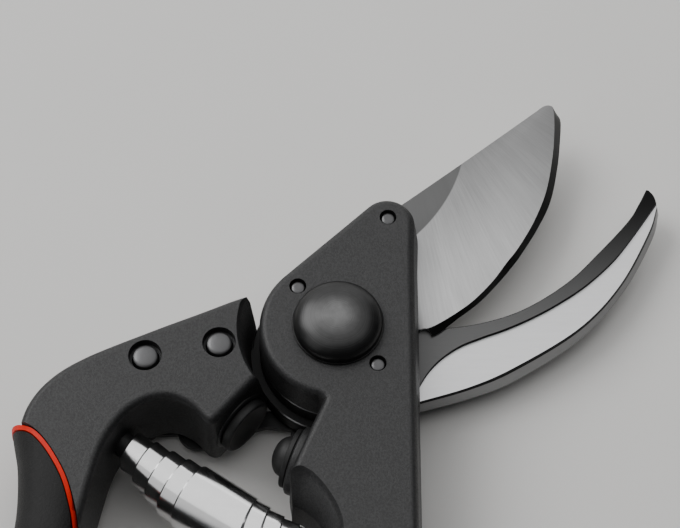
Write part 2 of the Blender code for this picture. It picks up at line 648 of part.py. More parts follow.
def main():
    for leftover in list(bpy.data.objects):
        bpy.data.objects.remove(leftover, do_unlink=True)
    materials = {
        "coat": finish("powder_coat", (0.050, 0.050, 0.053), 0.55, 0.1),
        "ground": finish("ground_steel", (0.55, 0.55, 0.56), 0.32, 1.0),
        "forged": finish("forged_steel", (0.42, 0.42, 0.43), 0.38, 1.0),
        "satin": finish("satin_black_steel", (0.035, 0.035, 0.037), 0.35, 0.6),
        "pin": finish("dark_pin_steel", (0.11, 0.11, 0.115), 0.4, 0.9),
        "bronze": finish("bearing_bronze", (0.45, 0.29, 0.12), 0.4, 1.0),
        "chrome": finish("spring_steel", (0.75, 0.75, 0.76), 0.12, 1.0),
        "grip": finish("grip_rubber", (0.045, 0.045, 0.047), 0.7, 0.0),
        "rubber": finish("black_rubber", (0.018, 0.018, 0.019), 0.75, 0.0),
        "accent": finish("accent_red", (0.75, 0.015, 0.005), 0.45, 0.0),
    }
    blade_side = empty("blade_side", (0, 0))
    anvil_side = empty("anvil_side", (0, 0))
    catch = empty("catch", CATCH_PLACE)
    make_blade_handle(materials, blade_side)
    make_cutting_blade(materials, blade_side)
    make_pins(materials, blade_side)
    make_shock_absorber(materials, blade_side)
    make_grip("blade", BLADE_GRIP_LINE, blade_trim_line(), [(-30, 20), (40, 20)], 17, materials, blade_side)
    make_anvil_handle(materials, anvil_side)
    make_anvil_blade(materials, anvil_side)
    make_rivets(materials, anvil_side)
    make_cushion(materials, anvil_side)
    make_grip("anvil", ANVIL_GRIP_LINE, anvil_trim_line(), [(-80, 20), (-20, 20), (-20, -54)], 17,
              materials, anvil_side)
    make_pivot(materials, anvil_side)
    make_return_spring(materials, blade_side)
    make_catch(materials, catch, anvil_side)


main()
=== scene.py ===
# %% [markdown]
# # A bypass pruner
# A pruner is two forged handles that cross at one bolt. One handle carries a sharp cutting
# blade, the other a hooked anvil blade, and a volute spring pushes them open again.
# The CAD model gives every size and every joint. This script makes what the eye sees.
# Lengths in the script are millimetres, and a mesh is made in metres at the last moment.

# %% The frame
from math import acos, atan2, cos, degrees, hypot, pi, radians, sin

import bmesh
import bpy
from mathutils import Matrix, Vector


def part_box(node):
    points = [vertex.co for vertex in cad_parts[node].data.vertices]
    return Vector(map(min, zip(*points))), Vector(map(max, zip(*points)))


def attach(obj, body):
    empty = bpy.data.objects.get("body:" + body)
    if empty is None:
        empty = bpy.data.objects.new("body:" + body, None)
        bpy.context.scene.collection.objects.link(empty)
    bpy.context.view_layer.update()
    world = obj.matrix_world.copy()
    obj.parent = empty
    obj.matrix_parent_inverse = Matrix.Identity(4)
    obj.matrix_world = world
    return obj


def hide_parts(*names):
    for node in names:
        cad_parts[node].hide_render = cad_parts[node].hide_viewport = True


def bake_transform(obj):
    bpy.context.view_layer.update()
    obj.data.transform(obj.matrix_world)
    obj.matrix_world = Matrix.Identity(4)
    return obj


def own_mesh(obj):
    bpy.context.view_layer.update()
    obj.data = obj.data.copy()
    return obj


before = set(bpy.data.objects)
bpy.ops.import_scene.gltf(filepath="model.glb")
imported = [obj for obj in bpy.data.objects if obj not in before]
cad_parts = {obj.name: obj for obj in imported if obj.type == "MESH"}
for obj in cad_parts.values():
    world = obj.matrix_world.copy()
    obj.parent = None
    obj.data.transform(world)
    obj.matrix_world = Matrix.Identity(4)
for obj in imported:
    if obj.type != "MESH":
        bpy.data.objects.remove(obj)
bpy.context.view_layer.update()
scene = bpy.context.scene
MM = 0.001

# %% [markdown]
# ## Camera, light and floor
# The camera looks down at the pruner from a little above the handles, about 61 degrees up.
# A long lens keeps the perspective mild: parallel edges stay nearly parallel.
# One wide panel stands beyond the blades: polished faces that look up mirror it and turn
# bright, while the walls mirror the dim room and stay dark. A softer panel at the left
# throws the shadows to the lower right.

# %% Camera
CAMERA_PLACE = (0.39, -180.60, 379.10)
CAMERA_TILT_DEG = 28.5
LENS_MM = 108.85

lens = bpy.data.cameras.new("view")
lens.lens = LENS_MM
lens.sensor_width = 36.0
lens.clip_start = 0.01
camera = bpy.data.objects.new("view", lens)
camera.location = [MM * c for c in CAMERA_PLACE]
camera.rotation_euler = (radians(CAMERA_TILT_DEG), 0.0, 0.0)
scene.collection.objects.link(camera)
scene.camera = camera
print("camera", CAMERA_PLACE, "lens", LENS_MM)

# %% Light
ROOM_COLOUR = (0.80, 0.82, 0.85, 1.0)
ROOM_STRENGTH = 0.07
PANELS = (
    # name, place in metres, width, height, watts
    ("sky_panel", (-0.1, 0.40, 1.00), 2.0, 1.9, 13.0),
    ("north_panel", (0.0, 1.40, 0.36), 2.4, 0.66, 5.2),
    ("key_panel", (-0.80, 0.55, 1.0), 0.85, 0.85, 8.5),
    ("left_panel", (-1.0, -0.45, 0.75), 0.8, 0.8, 1.2),
)

for name, place, width, height, watts in PANELS:
    lamp = bpy.data.lights.new(name, "AREA")
    lamp.shape = "RECTANGLE"
    lamp.size = width
    lamp.size_y = height
    lamp.energy = watts
    piece = bpy.data.objects.new(name, lamp)
    piece.location = place
    piece.rotation_euler = (-Vector(place)).to_track_quat("-Z", "Y").to_euler()
    scene.collection.objects.link(piece)

world = bpy.data.worlds.new("room")
world.use_nodes = True
background = world.node_tree.nodes["Background"].inputs
background["Color"].default_value = ROOM_COLOUR
background["Strength"].default_value = ROOM_STRENGTH
scene.world = world
print("lamps:", [row[0] for row in PANELS])

# %% Heights and places that the CAD model fixes
LOW_FACE_ABOVE_BOX = 0.84
HANDLE_LOW = 1000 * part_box("anvil_handle")[0].z + LOW_FACE_ABOVE_BOX
HANDLE_TOP = 1000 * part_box("blade_handle")[1].z
ANVIL_LOW, ANVIL_HIGH = [1000 * c.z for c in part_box("anvil_blade")]
BLADE_LOW, BLADE_HIGH = [1000 * c.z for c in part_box("cutting_blade")]
HEAD_CLEARANCE = 0.3
HEAD_LOW = BLADE_HIGH + HEAD_CLEARANCE
MID_Z = 12.0
PIVOT = (0.0, 0.0)


def middle(node):
    """Plan centre of a CAD node, in millimetres."""
    low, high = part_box(node)
    return (500 * (low.x + high.x), 500 * (low.y + high.y))


PIN_PLACES = [middle(f"blade_pin_{k}") for k in (1, 2, 3)]
RIVET_PLACES = [middle(f"anvil_rivet_{k}") for k in (1, 2)]
CATCH_PLACE = middle("catch_screw")
SEGMENT_SCREW_PLACE = middle("segment_screw")
STUD_PLACE = middle("catch_stud")
print("handle", round(HANDLE_LOW, 2), round(HANDLE_TOP, 2), "anvil", ANVIL_LOW, ANVIL_HIGH)

# %% [markdown]
# ## Outlines
# Every flat piece starts as an outline in plan. Arcs and a Catmull-Rom curve give round
# stretches from a few points. `inset` moves an outline inwards, which is all that a rounded
# edge needs: each ring of the edge is the outline at its own height and its own inset.

# %% Outline helpers
def arc(centre, radius, start_deg, end_deg, steps):
    """Points along a circular arc, both ends included."""
    points = []
    for i in range(steps + 1):
        a = radians(start_deg + (end_deg - start_deg) * i / steps)
        points.append((centre[0] + radius * cos(a), centre[1] + radius * sin(a)))
    return points


def smooth(points, steps=8):
    """A Catmull-Rom curve through points of any dimension, both ends included."""
    first = tuple(2 * a - b for a, b in zip(points[0], points[1]))
    last = tuple(2 * a - b for a, b in zip(points[-1], points[-2]))
    knots = [first, *points, last]
    out = []
    for p0, p1, p2, p3 in zip(knots, knots[1:], knots[2:], knots[3:]):
        for i in range(steps):
            t = i / steps
            out.append(tuple(
                0.5 * (2 * b + (c - a) * t + (2 * a - 5 * b + 4 * c - d) * t * t
                       + (3 * b - a - 3 * c + d) * t ** 3)
                for a, b, c, d in zip(p0, p1, p2, p3)))
    out.append(tuple(points[-1]))
    return out


def rectangle(centre, half_x, half_y):
    """A rectangle's corners, counter-clockwise."""
    signs = ((-1, -1), (1, -1), (1, 1), (-1, 1))
    return [(centre[0] + sx * half_x, centre[1] + sy * half_y) for sx, sy in signs]


def between(p, q, share):
    """The point at a share of the way from p to q."""
    return tuple(a + (b - a) * share for a, b in zip(p, q))


def apart(p, q):
    """Distance in plan."""
    return hypot(p[0] - q[0], p[1] - q[1])


def spaced(points, nearest=0.12):
    """A closed outline without points that crowd the one before."""
    kept = []
    for p in points:
        if not kept or apart(p, kept[-1]) > nearest:
            kept.append(p)
    if apart(kept[0], kept[-1]) <= nearest:
        kept.pop()
    return kept


def divided(points, longest=1.5, closed=True):
    """An outline whose long straight sides get points in between."""
    out = []
    ends = points[1:] + points[:1] if closed else points[1:]
    for p, q in zip(points, ends):
        parts = max(1, int(apart(p, q) / longest))
        for i in range(parts):
            out.append((p[0] + (q[0] - p[0]) * i / parts, p[1] + (q[1] - p[1]) * i / parts))
    if not closed:
        out.append(points[-1])
    return out


def inset(outline, distance):
    """A counter-clockwise outline moved inwards; a side that would turn over closes to a point."""
    if distance == 0:
        return list(outline)
    count = len(outline)
    moved = []
    for i, p in enumerate(outline):
        before = outline[i - 1]
        after = outline[(i + 1) % count]
        d0 = Vector((p[0] - before[0], p[1] - before[1])).normalized()
        d1 = Vector((after[0] - p[0], after[1] - p[1])).normalized()
        n0 = Vector((-d0.y, d0.x))
        n1 = Vector((-d1.y, d1.x))
        mitre = (n0 + n1).normalized()
        reach = distance / max(mitre.dot(n0), 0.5)
        moved.append(Vector((p[0] + mitre.x * reach, p[1] + mitre.y * reach)))
    for _ in range(12):
        turned_over = 0
        for i in range(count):
            j = (i + 1) % count
            side = Vector(outline[j]) - Vector(outline[i])
            if (moved[j] - moved[i]).dot(side) < -1e-9:
                centre = (moved[i] + moved[j]) / 2
                moved[i] = centre.copy()
                moved[j] = centre.copy()
                turned_over += 1
        if not turned_over:
            break
    return [(p.x, p.y) for p in moved]


def shifted(line, distance):
    """An open line moved sideways, to its left for a positive distance."""
    moved = []
    for i, p in enumerate(line):
        before = line[max(i - 1, 0)]
        after = line[min(i + 1, len(line) - 1)]
        d = Vector((after[0] - before[0], after[1] - before[1])).normalized()
        moved.append((p[0] - d.y * distance, p[1] + d.x * distance))
    return moved


def turned(points, degrees_ccw, centre=(0.0, 0.0)):
    """Plan points turned about a centre."""
    c = cos(radians(degrees_ccw))
    s = sin(radians(degrees_ccw))
    out = []
    for x, y in points:
        dx = x - centre[0]
        dy = y - centre[1]
        out.append((centre[0] + c * dx - s * dy, centre[1] + s * dx + c * dy))
    return out


# %% [markdown]
# ## From outline to mesh
# A stack of rings with as many points each makes a closed body. Turned pieces, such as the
# domed bolt, are stacks of circles. Holes and clearances are cut with the exact Boolean,
# applied at once, and a weighted normal keeps the big flat faces flat up to their edges.

# %% Mesh helpers
def solid(name, verts, faces, sharp_deg=32):
    """A closed mesh object from millimetre points, its faces turned outwards."""
    mesh = bpy.data.meshes.new(name)
    mesh.from_pydata([tuple(MM * c for c in v) for v in verts], [], faces)
    bm = bmesh.new()
    bm.from_mesh(mesh)
    bmesh.ops.remove_doubles(bm, verts=bm.verts, dist=2e-6)
    bmesh.ops.recalc_face_normals(bm, faces=bm.faces)
    bm.to_mesh(mesh)
    bm.free()
    mesh.shade_smooth()
    mesh.set_sharp_from_angle(angle=radians(sharp_deg))
    piece = bpy.data.objects.new(name, mesh)
    scene.collection.objects.link(piece)
    return piece


def stack(rings):
    """Points and faces of a closed body through rings, lowest first."""
    count = len(rings[0])
    assert all(len(ring) == count for ring in rings), "every ring needs as many points"
    verts = [p for ring in rings for p in ring]
    faces = [tuple(range(count))[::-1]]
    for k in range(len(rings) - 1):
        for i in range(count):
            j = (i + 1) % count
            faces.append((k * count + i, k * count + j, (k + 1) * count + j, (k + 1) * count + i))
    faces.append(tuple(range((len(rings) - 1) * count, len(rings) * count)))
    return verts, faces


def plate(name, outline, levels, sharp_deg=32):
    """A plate: levels are (height, inset) from low to high."""
    rings = []
    for z, amount in levels:
        rings.append([(x, y, z) for x, y in inset(outline, amount)])
    return solid(name, *stack(rings), sharp_deg)


def edge_levels(z_low, z_high, low_round, high_round, low_out=0.0, high_out=0.0, steps=6):
    """Levels of a plate with rounded edges; low_out and high_out move the wall outwards."""
    turns = [pi / 2 * i / steps for i in range(steps + 1)]
    low = [(z_low + low_round * (1 - cos(a)), low_round * (1 - sin(a)) - low_out) for a in turns]
    high = [(z_high - high_round * (1 - sin(a)),
             high_round * (1 - cos(a)) - high_out) for a in turns]
    return low + high


def dome(radius, base, rise, fullness, steps):
    """Profile of a dome, from its rim to just short of its top."""
    turns = [pi / 2 * i / steps for i in range(1, steps)]
    return [(radius * cos(a) ** fullness, base + rise * sin(a)) for a in turns]


def turning(profile, sides=64, hollow=False):
    """Points and faces of a turned body: profile is (radius, height), low to high."""
    verts = []
    for radius, z in profile:
        for i in range(sides):
            a = 2 * pi * i / sides
            verts.append((radius * cos(a), radius * sin(a), z))
    faces = []
    count = len(profile)
    for k in range(count if hollow else count - 1):
        m = (k + 1) % count
        for i in range(sides):
            j = (i + 1) % sides
            faces.append((k * sides + i, k * sides + j, m * sides + j, m * sides + i))
    if not hollow:
        faces.append(tuple(range(sides))[::-1])
        faces.append(tuple(range((count - 1) * sides, count * sides)))
    return verts, faces


def upright(name, place, profile, sides=64, hollow=False, sharp_deg=32):
    """A turned body that stands on a plan place."""
    verts, faces = turning(profile, sides, hollow)
    verts = [(x + place[0], y + place[1], z) for x, y, z in verts]
    return solid(name, verts, faces, sharp_deg)


def lying(name, place, direction_deg, profile, sides=64, hollow=False, height=MID_Z):
    """A turned body that lies along a plan direction."""
    verts, faces = turning(profile, sides, hollow)
    lay = Matrix.Rotation(radians(direction_deg), 4, "Z") @ Matrix.Rotation(pi / 2, 4, "Y")
    lay = Matrix.Translation((place[0], place[1], height)) @ lay
    return solid(name, [tuple(lay @ Vector(v)) for v in verts], faces)


# %% Booleans, holes and clean normals
def applied(piece):
    """The piece's modifiers made part of its mesh."""
    bpy.context.view_layer.update()
    graph = bpy.context.evaluated_depsgraph_get()
    mesh = bpy.data.meshes.new_from_object(piece.evaluated_get(graph))
    old = piece.data
    piece.modifiers.clear()
    piece.data = mesh
    if old.users == 0:
        bpy.data.meshes.remove(old)
    return piece


def combine(target, tool, operation):
    """Adds, takes away or keeps the common part of a tool, which is then removed."""
    modifier = target.modifiers.new(operation.lower(), "BOOLEAN")
    modifier.operation = operation
    modifier.object = tool
    modifier.solver = "EXACT"
    applied(target)
    bpy.data.objects.remove(tool, do_unlink=True)
    return target


def drill(target, places, radius, low=0.0, high=30.0, sides=48):
    """Upright round holes, right through unless low and high say otherwise."""
    for place in places:
        combine(target, upright("drill", place, [(radius, low), (radius, high)], sides),
                "DIFFERENCE")


GROOVE_HALF_LENGTH = 5.0


def groove(target, place, half_width, low, depth):
    """A straight groove along X in a piece's lower face."""
    levels = [(low - 1.0, 0.0), (low + depth, 0.0)]
    cut = plate("groove", rectangle(place, GROOVE_HALF_LENGTH, half_width), levels)
    combine(target, cut, "DIFFERENCE")


def polished_off(piece, sharp_deg=32):
    """Doubles merged, edges marked sharp by angle, and flat faces given flat normals."""
    bm = bmesh.new()
    bm.from_mesh(piece.data)
    bmesh.ops.remove_doubles(bm, verts=bm.verts, dist=2e-6)
    bmesh.ops.dissolve_degenerate(bm, edges=bm.edges, dist=1e-6)
    bm.to_mesh(piece.data)
    bm.free()
    piece.data.shade_smooth()
    piece.data.set_sharp_from_angle(angle=radians(sharp_deg))
    weigh = piece.modifiers.new("flat_faces", "WEIGHTED_NORMAL")
    weigh.keep_sharp = True
    weigh.weight = 100
    return applied(piece)


# %% Telling the frame about a piece
def report(piece):
    """Prints a piece's size and how fine its mesh is."""
    corners = [v.co for v in piece.data.vertices]
    size = [round(1000 * (max(c[k] for c in corners) - min(c[k] for c in corners)),
                  1) for k in range(3)]
    print(f"{piece.name}: {size} mm, {len(piece.data.polygons)} faces")


def stands_for(piece, body, slot, *nodes):
    """Hides the CAD nodes a piece replaces and attaches it to the body it moves with; slot is not
    used.
    """
    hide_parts(*nodes)
    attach(piece, body)
    report(piece)


# %% [markdown]
# ## Writing node trees as sums
# Shader maths reads best as a formula. `Value` wraps one socket, and Python's own operators
# on it add Math nodes. `Graph.node` adds any other node: its settings first, then its
# sockets. The same two classes write the Geometry Nodes trees further down.

# %% Value and Graph
class Value:
    """One output socket. Adding, multiplying and so on makes a Math node."""

    def __init__(self, graph, socket):
        self.graph = graph
        self.socket = socket

    def __add__(self, other):
        return self.graph.maths("ADD", self, other)

    def __radd__(self, other):
        return self.graph.maths("ADD", other, self)

    def __sub__(self, other):
        return self.graph.maths("SUBTRACT", self, other)

    def __rsub__(self, other):
        return self.graph.maths("SUBTRACT", other, self)

    def __mul__(self, other):
        return self.graph.maths("MULTIPLY", self, other)

    def __rmul__(self, other):
        return self.graph.maths("MULTIPLY", other, self)

    def __truediv__(self, other):
        return self.graph.maths("DIVIDE", self, other)

    def __pow__(self, other):
        return self.graph.maths("POWER", self, other)

    def __abs__(self):
        return self.graph.maths("ABSOLUTE", self)

    def step(self, low, high):
        """0 below low, 1 above high, and a smooth rise between."""
        return self.graph.node("ShaderNodeMapRange", {"interpolation_type": "SMOOTHSTEP"},
                               {"Value": self, "From Min": low, "From Max": high})


class Graph:
    """A node tree that grows by formulas."""

    def __init__(self, tree):
        self.tree = tree

    def feed(self, socket, value):
        if isinstance(value, Value):
            self.tree.links.new(value.socket, socket)
        elif value is not None:
            socket.default_value = value

    def find(self, sockets, key):
        if isinstance(key, int):
            return sockets[key]
        for socket in sockets:
            if socket.identifier == key:
                return socket
        return sockets[key]

    def node(self, kind, settings=None, inputs=None, output=0):
        made = self.tree.nodes.new(kind)
        for key, value in (settings or {}).items():
            if key == "stops":
                ramp = made.color_ramp
                while len(ramp.elements) < len(value):
                    ramp.elements.new(0.5)
                for element, (place, colour) in zip(ramp.elements, value):
                    element.position = place
                    element.color = colour
            else:
                setattr(made, key, value)
        for key, value in (inputs or {}).items():
            self.feed(self.find(made.inputs, key), value)
        return Value(self, self.find(made.outputs, output))

    def maths(self, operation, *values):
        return self.node("ShaderNodeMath", {"operation": operation}, dict(enumerate(values)))

    def split(self, vector):
        parts = self.node("ShaderNodeSeparateXYZ", None, {0: vector})
        outputs = parts.socket.node.outputs
        return [Value(self, outputs[k]) for k in range(3)]

    def join(self, x, y, z):
        return self.node("ShaderNodeCombineXYZ", None, {0: x, 1: y, 2: z})


# %% Finish: a material written as formulas
class Finish(Graph):
    """A material with one Principled shader."""

    def __init__(self, name, colour, roughness, metallic=0.0, **fixed):
        self.material = bpy.data.materials.new(name)
        self.material.use_nodes = True
        super().__init__(self.material.node_tree)
        self.shader = self.tree.nodes["Principled BSDF"]
        self.set("Base Color", (*colour, 1.0))
        self.set("Roughness", roughness)
        self.set("Metallic", metallic)
        for key, value in fixed.items():
            self.set(key.replace("_", " "), value)
        self.material.diffuse_color = (*colour, 1.0)
        self.place = self.node("ShaderNodeTexCoord", output="Object")

    def set(self, socket, value):
        self.feed(self.shader.inputs[socket], value)

    def noise(self, scale, detail=2.0, roughness=0.5, vector=None):
        """Noise from 0 to 1 whose grains are about one over scale millimetres apart."""
        return self.node("ShaderNodeTexNoise", None,
                         {"Vector": vector or self.place, "Scale": 1000.0 * scale, "Detail": detail,
                          "Roughness": roughness})

    def stretched(self, degrees_ccw, along, across):
        """Object coordinates turned in plan and stretched: a brushed grain runs along the turn."""
        return self.node("ShaderNodeMapping", None,
                         {"Vector": self.place, "Rotation": (0.0, 0.0, radians(-degrees_ccw)),
                          "Scale": (along, across, across)})

    def mix(self, share, first, second):
        return self.node("ShaderNodeMix", {"data_type": "RGBA"},
                         {"Factor_Float": share, "A_Color": first, "B_Color": second},
                         "Result_Color")

    def grey(self, value, blue=1.0):
        """A grey; blue above 1 makes it a little cooler."""
        cool = value if blue == 1.0 else value * blue
        return self.node("ShaderNodeCombineColor", None, {0: value, 1: value, 2: cool})

    def distance(self, x, y, centre):
        """Distance in plan from a centre, in millimetres."""
        return ((x * 1000 - centre[0]) ** 2.0 + (y * 1000 - centre[1]) ** 2.0) ** 0.5

    def rings(self, per_mm):
        """Distance from the piece's own middle in millimetres, and faint rings round it."""
        radius = self.node("ShaderNodeAttribute", {"attribute_name": "from_middle"}, None, "Fac")
        ripple = self.node("ShaderNodeTexNoise", {"noise_dimensions": "1D"},
                           {"W": radius * per_mm, "Scale": 1.0, "Detail": 3.0})
        return radius, ripple

    def bump(self, height, depth_mm, strength=1.0):
        self.set("Normal", self.node("ShaderNodeBump", None, {"Height": height,
                                                              "Distance": MM * depth_mm,
                                                              "Strength": strength}))


def dress(piece, *finishes):
    """Gives a piece its materials in order."""
    piece.data.materials.clear()
    for finish in finishes:
        piece.data.materials.append(finish.material)


def finished(piece, *finishes, sharp_deg=32):
    """The last step of a cut piece: clean normals, then its materials."""
    polished_off(piece, sharp_deg)
    dress(piece, *finishes)
    return piece


# %% [markdown]
# ## Finishes
# The handles wear a fine textured powder coat: a dark dull coat whose surface is a crowd
# of tiny lumps. The lumps are noise with grains of about 0.4 mm, which drives a
# shallow bump, and a little of it also goes into the colour and the roughness.

# %% Powder coat
def powder_coat():
    coat = Finish("powder_coat", (0.02, 0.02, 0.021), 0.5)
    grain = coat.noise(2.7, 2.0, 0.7).step(0.3, 0.7)
    cloud = coat.noise(0.05, 2.0)
    shade = 0.008 + 0.015 * grain + 0.003 * cloud
    coat.set("Base Color", coat.grey(shade, 1.03))
    coat.set("Roughness", 0.53 - 0.10 * grain)
    coat.bump(grain, 0.05, 0.5)
    return coat


# %% [markdown]
# Rubber comes in two kinds here: the grips are a firm, finely grained sleeve, and the two
# stops are soft black buffers with a faint bloom.

# %% Rubber
def grip_rubber():
    rubber = Finish("grip_rubber", (0.028, 0.028, 0.029), 0.62, Specular_IOR_Level=0.32)
    grain = rubber.noise(2.6, 2.0, 0.7).step(0.33, 0.67)
    cloud = rubber.noise(0.08, 3.0)
    shade = 0.004 + 0.008 * grain + 0.003 * cloud
    rubber.set("Base Color", rubber.grey(shade))
    rubber.set("Roughness", 0.52 + 0.12 * grain + 0.06 * cloud)
    rubber.bump(grain, 0.06, 0.7)
    return rubber


def buffer_rubber():
    rubber = Finish("buffer_rubber", (0.016, 0.016, 0.017), 0.6)
    bloom = rubber.noise(0.35, 4.0)
    grain = rubber.noise(4.0, 2.0)
    rubber.set("Base Color", rubber.grey(0.006 + 0.007 * bloom))
    rubber.set("Roughness", 0.48 + 0.16 * bloom)
    rubber.bump(grain, 0.02, 0.4)
    return rubber


# %% [markdown]
# Steel is the same metal with different marks. A ground face has fine parallel scratches,
# which are noise squeezed hard across the grinding direction. A turned face has rings, so
# its marks follow the distance from the middle, stored on the mesh as an attribute.

# %% Steel
def scratched(finish, degrees_ccw, fine=9.0):
    """Fine scratches along a plan direction, from 0 to 1."""
    close = finish.noise(1.0, 3.0, 0.65, finish.stretched(degrees_ccw, 0.03 * fine, fine))
    wide = finish.noise(1.0, 2.0, 0.5, finish.stretched(degrees_ccw, 0.012 * fine, 0.12 * fine))
    return close, wide


def ground_steel(name, low, high, roughness, degrees_ccw, depth=0.006):
    """Steel with grinding marks; low and high are its darkest and lightest grey."""
    steel = Finish(name, (high, high, high), roughness, 1.0)
    close, wide = scratched(steel, degrees_ccw)
    shade = low + (high - low) * (0.55 * close + 0.45 * wide)
    steel.set("Base Color", steel.grey(shade, 1.01))
    steel.set("Roughness", roughness - 0.05 + 0.12 * close)
    steel.bump(close, depth, 0.5)
    return steel


# %% Steel off the lathe
def turned_steel(name, colour, roughness, metallic=0.9, rings=0.25):
    """Steel off the lathe: faint rings round the piece's own middle."""
    steel = Finish(name, colour, roughness, metallic)
    _, ripple = steel.rings(6.0)
    cloud = steel.noise(0.5, 3.0)
    tone = 1.0 - rings / 2 + rings * ripple + 0.15 * cloud
    double = tuple(min(1.0, 2 * c) for c in colour)
    steel.set("Base Color", steel.mix(tone * 0.5, (0.0, 0.0, 0.0, 1.0), (*double, 1.0)))
    steel.set("Roughness", roughness - 0.04 + 0.10 * cloud)
    steel.bump(ripple, 0.01, 0.4)
    return steel


def domed_bolt_steel():
    """Blackened satin steel with a painted highlight: lighter round the top, plus turning rings and
    brushing.
    """
    steel = Finish("domed_bolt_steel", (0.05, 0.05, 0.052), 0.34, 1.0)
    radius, ripple = steel.rings(5.0)
    cloud = steel.noise(0.35, 4.0, 0.6)
    # painted highlight: the base colour is lighter within about 5.5 mm of the middle, where the
    # lamp's highlight falls
    painted_top_highlight = (1.0 - radius.step(0.0, 5.5)) * (0.5 + cloud)
    steel.set("Base Color", steel.grey(0.040 + 0.11 * painted_top_highlight + 0.06 * ripple * cloud))
    steel.set("Roughness", 0.30 + 0.10 * cloud)
    steel.bump(ripple, 0.012, 0.5)
    return steel


# %% Red accent, spring steel and bearing bronze
def accent_red():
    red = Finish("accent_red", (0.74, 0.018, 0.006), 0.5, Specular_IOR_Level=0.2)
    cloud = red.noise(0.6, 3.0)
    red.set("Base Color", red.mix(cloud, (0.62, 0.012, 0.004, 1.0), (0.86, 0.026, 0.008, 1.0)))
    red.set("Roughness", 0.44 + 0.14 * cloud)
    red.bump(red.noise(3.0, 2.0), 0.015, 0.3)
    return red


def bright_spring_steel():
    steel = Finish("spring_steel", (0.82, 0.82, 0.83), 0.16, 1.0)
    cloud = steel.noise(0.4, 3.0)
    streak = steel.noise(1.0, 2.0, 0.5, steel.stretched(-31, 0.2, 3.0))
    shade = 0.88 + 0.06 * cloud + 0.05 * streak
    steel.set("Base Color", steel.grey(shade))
    steel.set("Roughness", 0.13 + 0.08 * streak)
    return steel


def bearing_bronze():
    bronze = Finish("bearing_bronze", (0.45, 0.29, 0.12), 0.38, 1.0)
    cloud = bronze.noise(0.7, 3.0)
    bronze.set("Base Color", bronze.mix(cloud, (0.36, 0.22, 0.08, 1.0), (0.55, 0.37, 0.16, 1.0)))
    bronze.set("Roughness", 0.32 + 0.14 * cloud)
    return bronze


# %% The finishes that pieces share
COAT = powder_coat()
GRIP = grip_rubber()
BUFFER = buffer_rubber()
RIVET_STEEL = turned_steel("rivet_steel", (0.10, 0.10, 0.102), 0.34)
DOME = domed_bolt_steel()
PIN_STEEL = turned_steel("pin_steel", (0.10, 0.10, 0.102), 0.3)
RED = accent_red()
SPRING_STEEL = bright_spring_steel()
BRONZE = bearing_bronze()
BLACKENED = ground_steel("blackened_steel", low=0.030, high=0.060, roughness=0.42, degrees_ccw=20.0)
print("finishes:", [material.name for material in bpy.data.materials])


def mark_middle(piece, place):
    """Stores each point's distance in millimetres from an upright axis, for turned marks and the
    dome's painted highlight.
    """
    attribute = piece.data.attributes.new("from_middle", "FLOAT", "POINT")
    for item, vertex in zip(attribute.data, piece.data.vertices):
        item.value = apart((1000 * vertex.co.x, 1000 * vertex.co.y), place)


# %% [markdown]
# ## The blade handle
# On the real tool this is one aluminium forging: a round head with a lobe over the blade,
# a neck, and a round hollow for the spring. It could be sculpted, but its top is flat and its
# edges have one radius, so a plate with a rounded edge and a few cuts is truer.

# %% Blade handle
TALL_LOW, TALL_HIGH = -5.0, 32.0
HEAD_RADIUS = 14.8
LOBE_CENTRE = (9.8, 23.0)
LOBE_RADIUS = 4.8
CLEARANCE_RADIUS = 20.2
STOP_CENTRE = (-6.4, -25.0)
STOP_DEG = 158.7
SEAT_CENTRE = (-2.9, -43.5)
SEAT_DEG = 171.0
TRIM_WIDTH = 1.0
GAP = 0.12
DRAFT = 0.85
DRAFT_FROM_X = 12.2
DRAFT_BLEND = 1.6
DRAFT_BELOW_TOP = 0.7
DRAFT_HEIGHT = 4.0
PIN_BORE = 1.68
BUSH_BORE = 7.0
BOLT_BORE = 5.3
RIVET_BORE = 2.7
SCREW_BORE = 1.6
CATCH_BORE = 1.8
STEM_BORE = 2.3


def blade_handle_outline():
    """Top face of the blade handle, counter-clockwise from the grip."""
    distance = hypot(*LOBE_CENTRE)
    tangent = degrees(atan2(LOBE_CENTRE[1],
                            LOBE_CENTRE[0]) + acos((HEAD_RADIUS - LOBE_RADIUS) / distance))
    right = LOBE_CENTRE[0] + LOBE_RADIUS
    side = [(right - 0.6, -70.0), (right - 0.2, -44.0), (right - 0.2, 16.0), (right, 22.0)]
    points = divided(side, 3.0, False)
    points += arc(LOBE_CENTRE, LOBE_RADIUS, 0, tangent, 26)
    points += arc(PIVOT, HEAD_RADIUS, tangent, 256, 70)
    points += [(-2.75, -14.8), (-2.1, -15.6), (-2.6, -16.9)]
    points += divided([(-5.0, -22.4), (-7.9, -29.3)], 2.5, False)
    points += smooth([(-8.4, -30.6), (-8.2, -32.2), (-7.9, -34.5), (-7.8, -42.0), (-7.8, -49.0)], 3)
    points += smooth([(-7.6, -51.0), (-6.6, -54.0), (-4.4, -57.4), (-2.2, -61.0), (-1.2, -70.0)], 4)
    return spaced(points)


def anvil_trim_line():
    """Where the anvil handle meets its grip, inner edge first; the grip is on the left."""
    return smooth([(-36.0, -49.4), (-44.4, -48.2), (-47.2, -46.0), (-48.5, -42.6), (-49.4, -38.1),
                   (-51.8, -31.1), (-56.4, -24.0), (-60.9, -20.8), (-70.0, -18.0)], 10)


def blade_trim_line():
    """Where the blade handle meets its grip, outer edge first; the grip is on the left."""
    return smooth([(23.0, -43.0), (16.6, -45.2), (11.8, -48.6), (7.4, -55.0), (3.4, -61.6),
                   (0.4, -65.6), (-4.0, -68.6), (-12.0, -71.0)], 10)


def region_beside(line, offset, far_points):
    """Plan region on one side of a trim line, closed through far points."""
    points = shifted(line, offset) + list(far_points)
    area = sum(a[0] * b[1] - b[0] * a[1] for a, b in zip(points, points[1:] + points[:1]))
    return points if area > 0 else points[::-1]


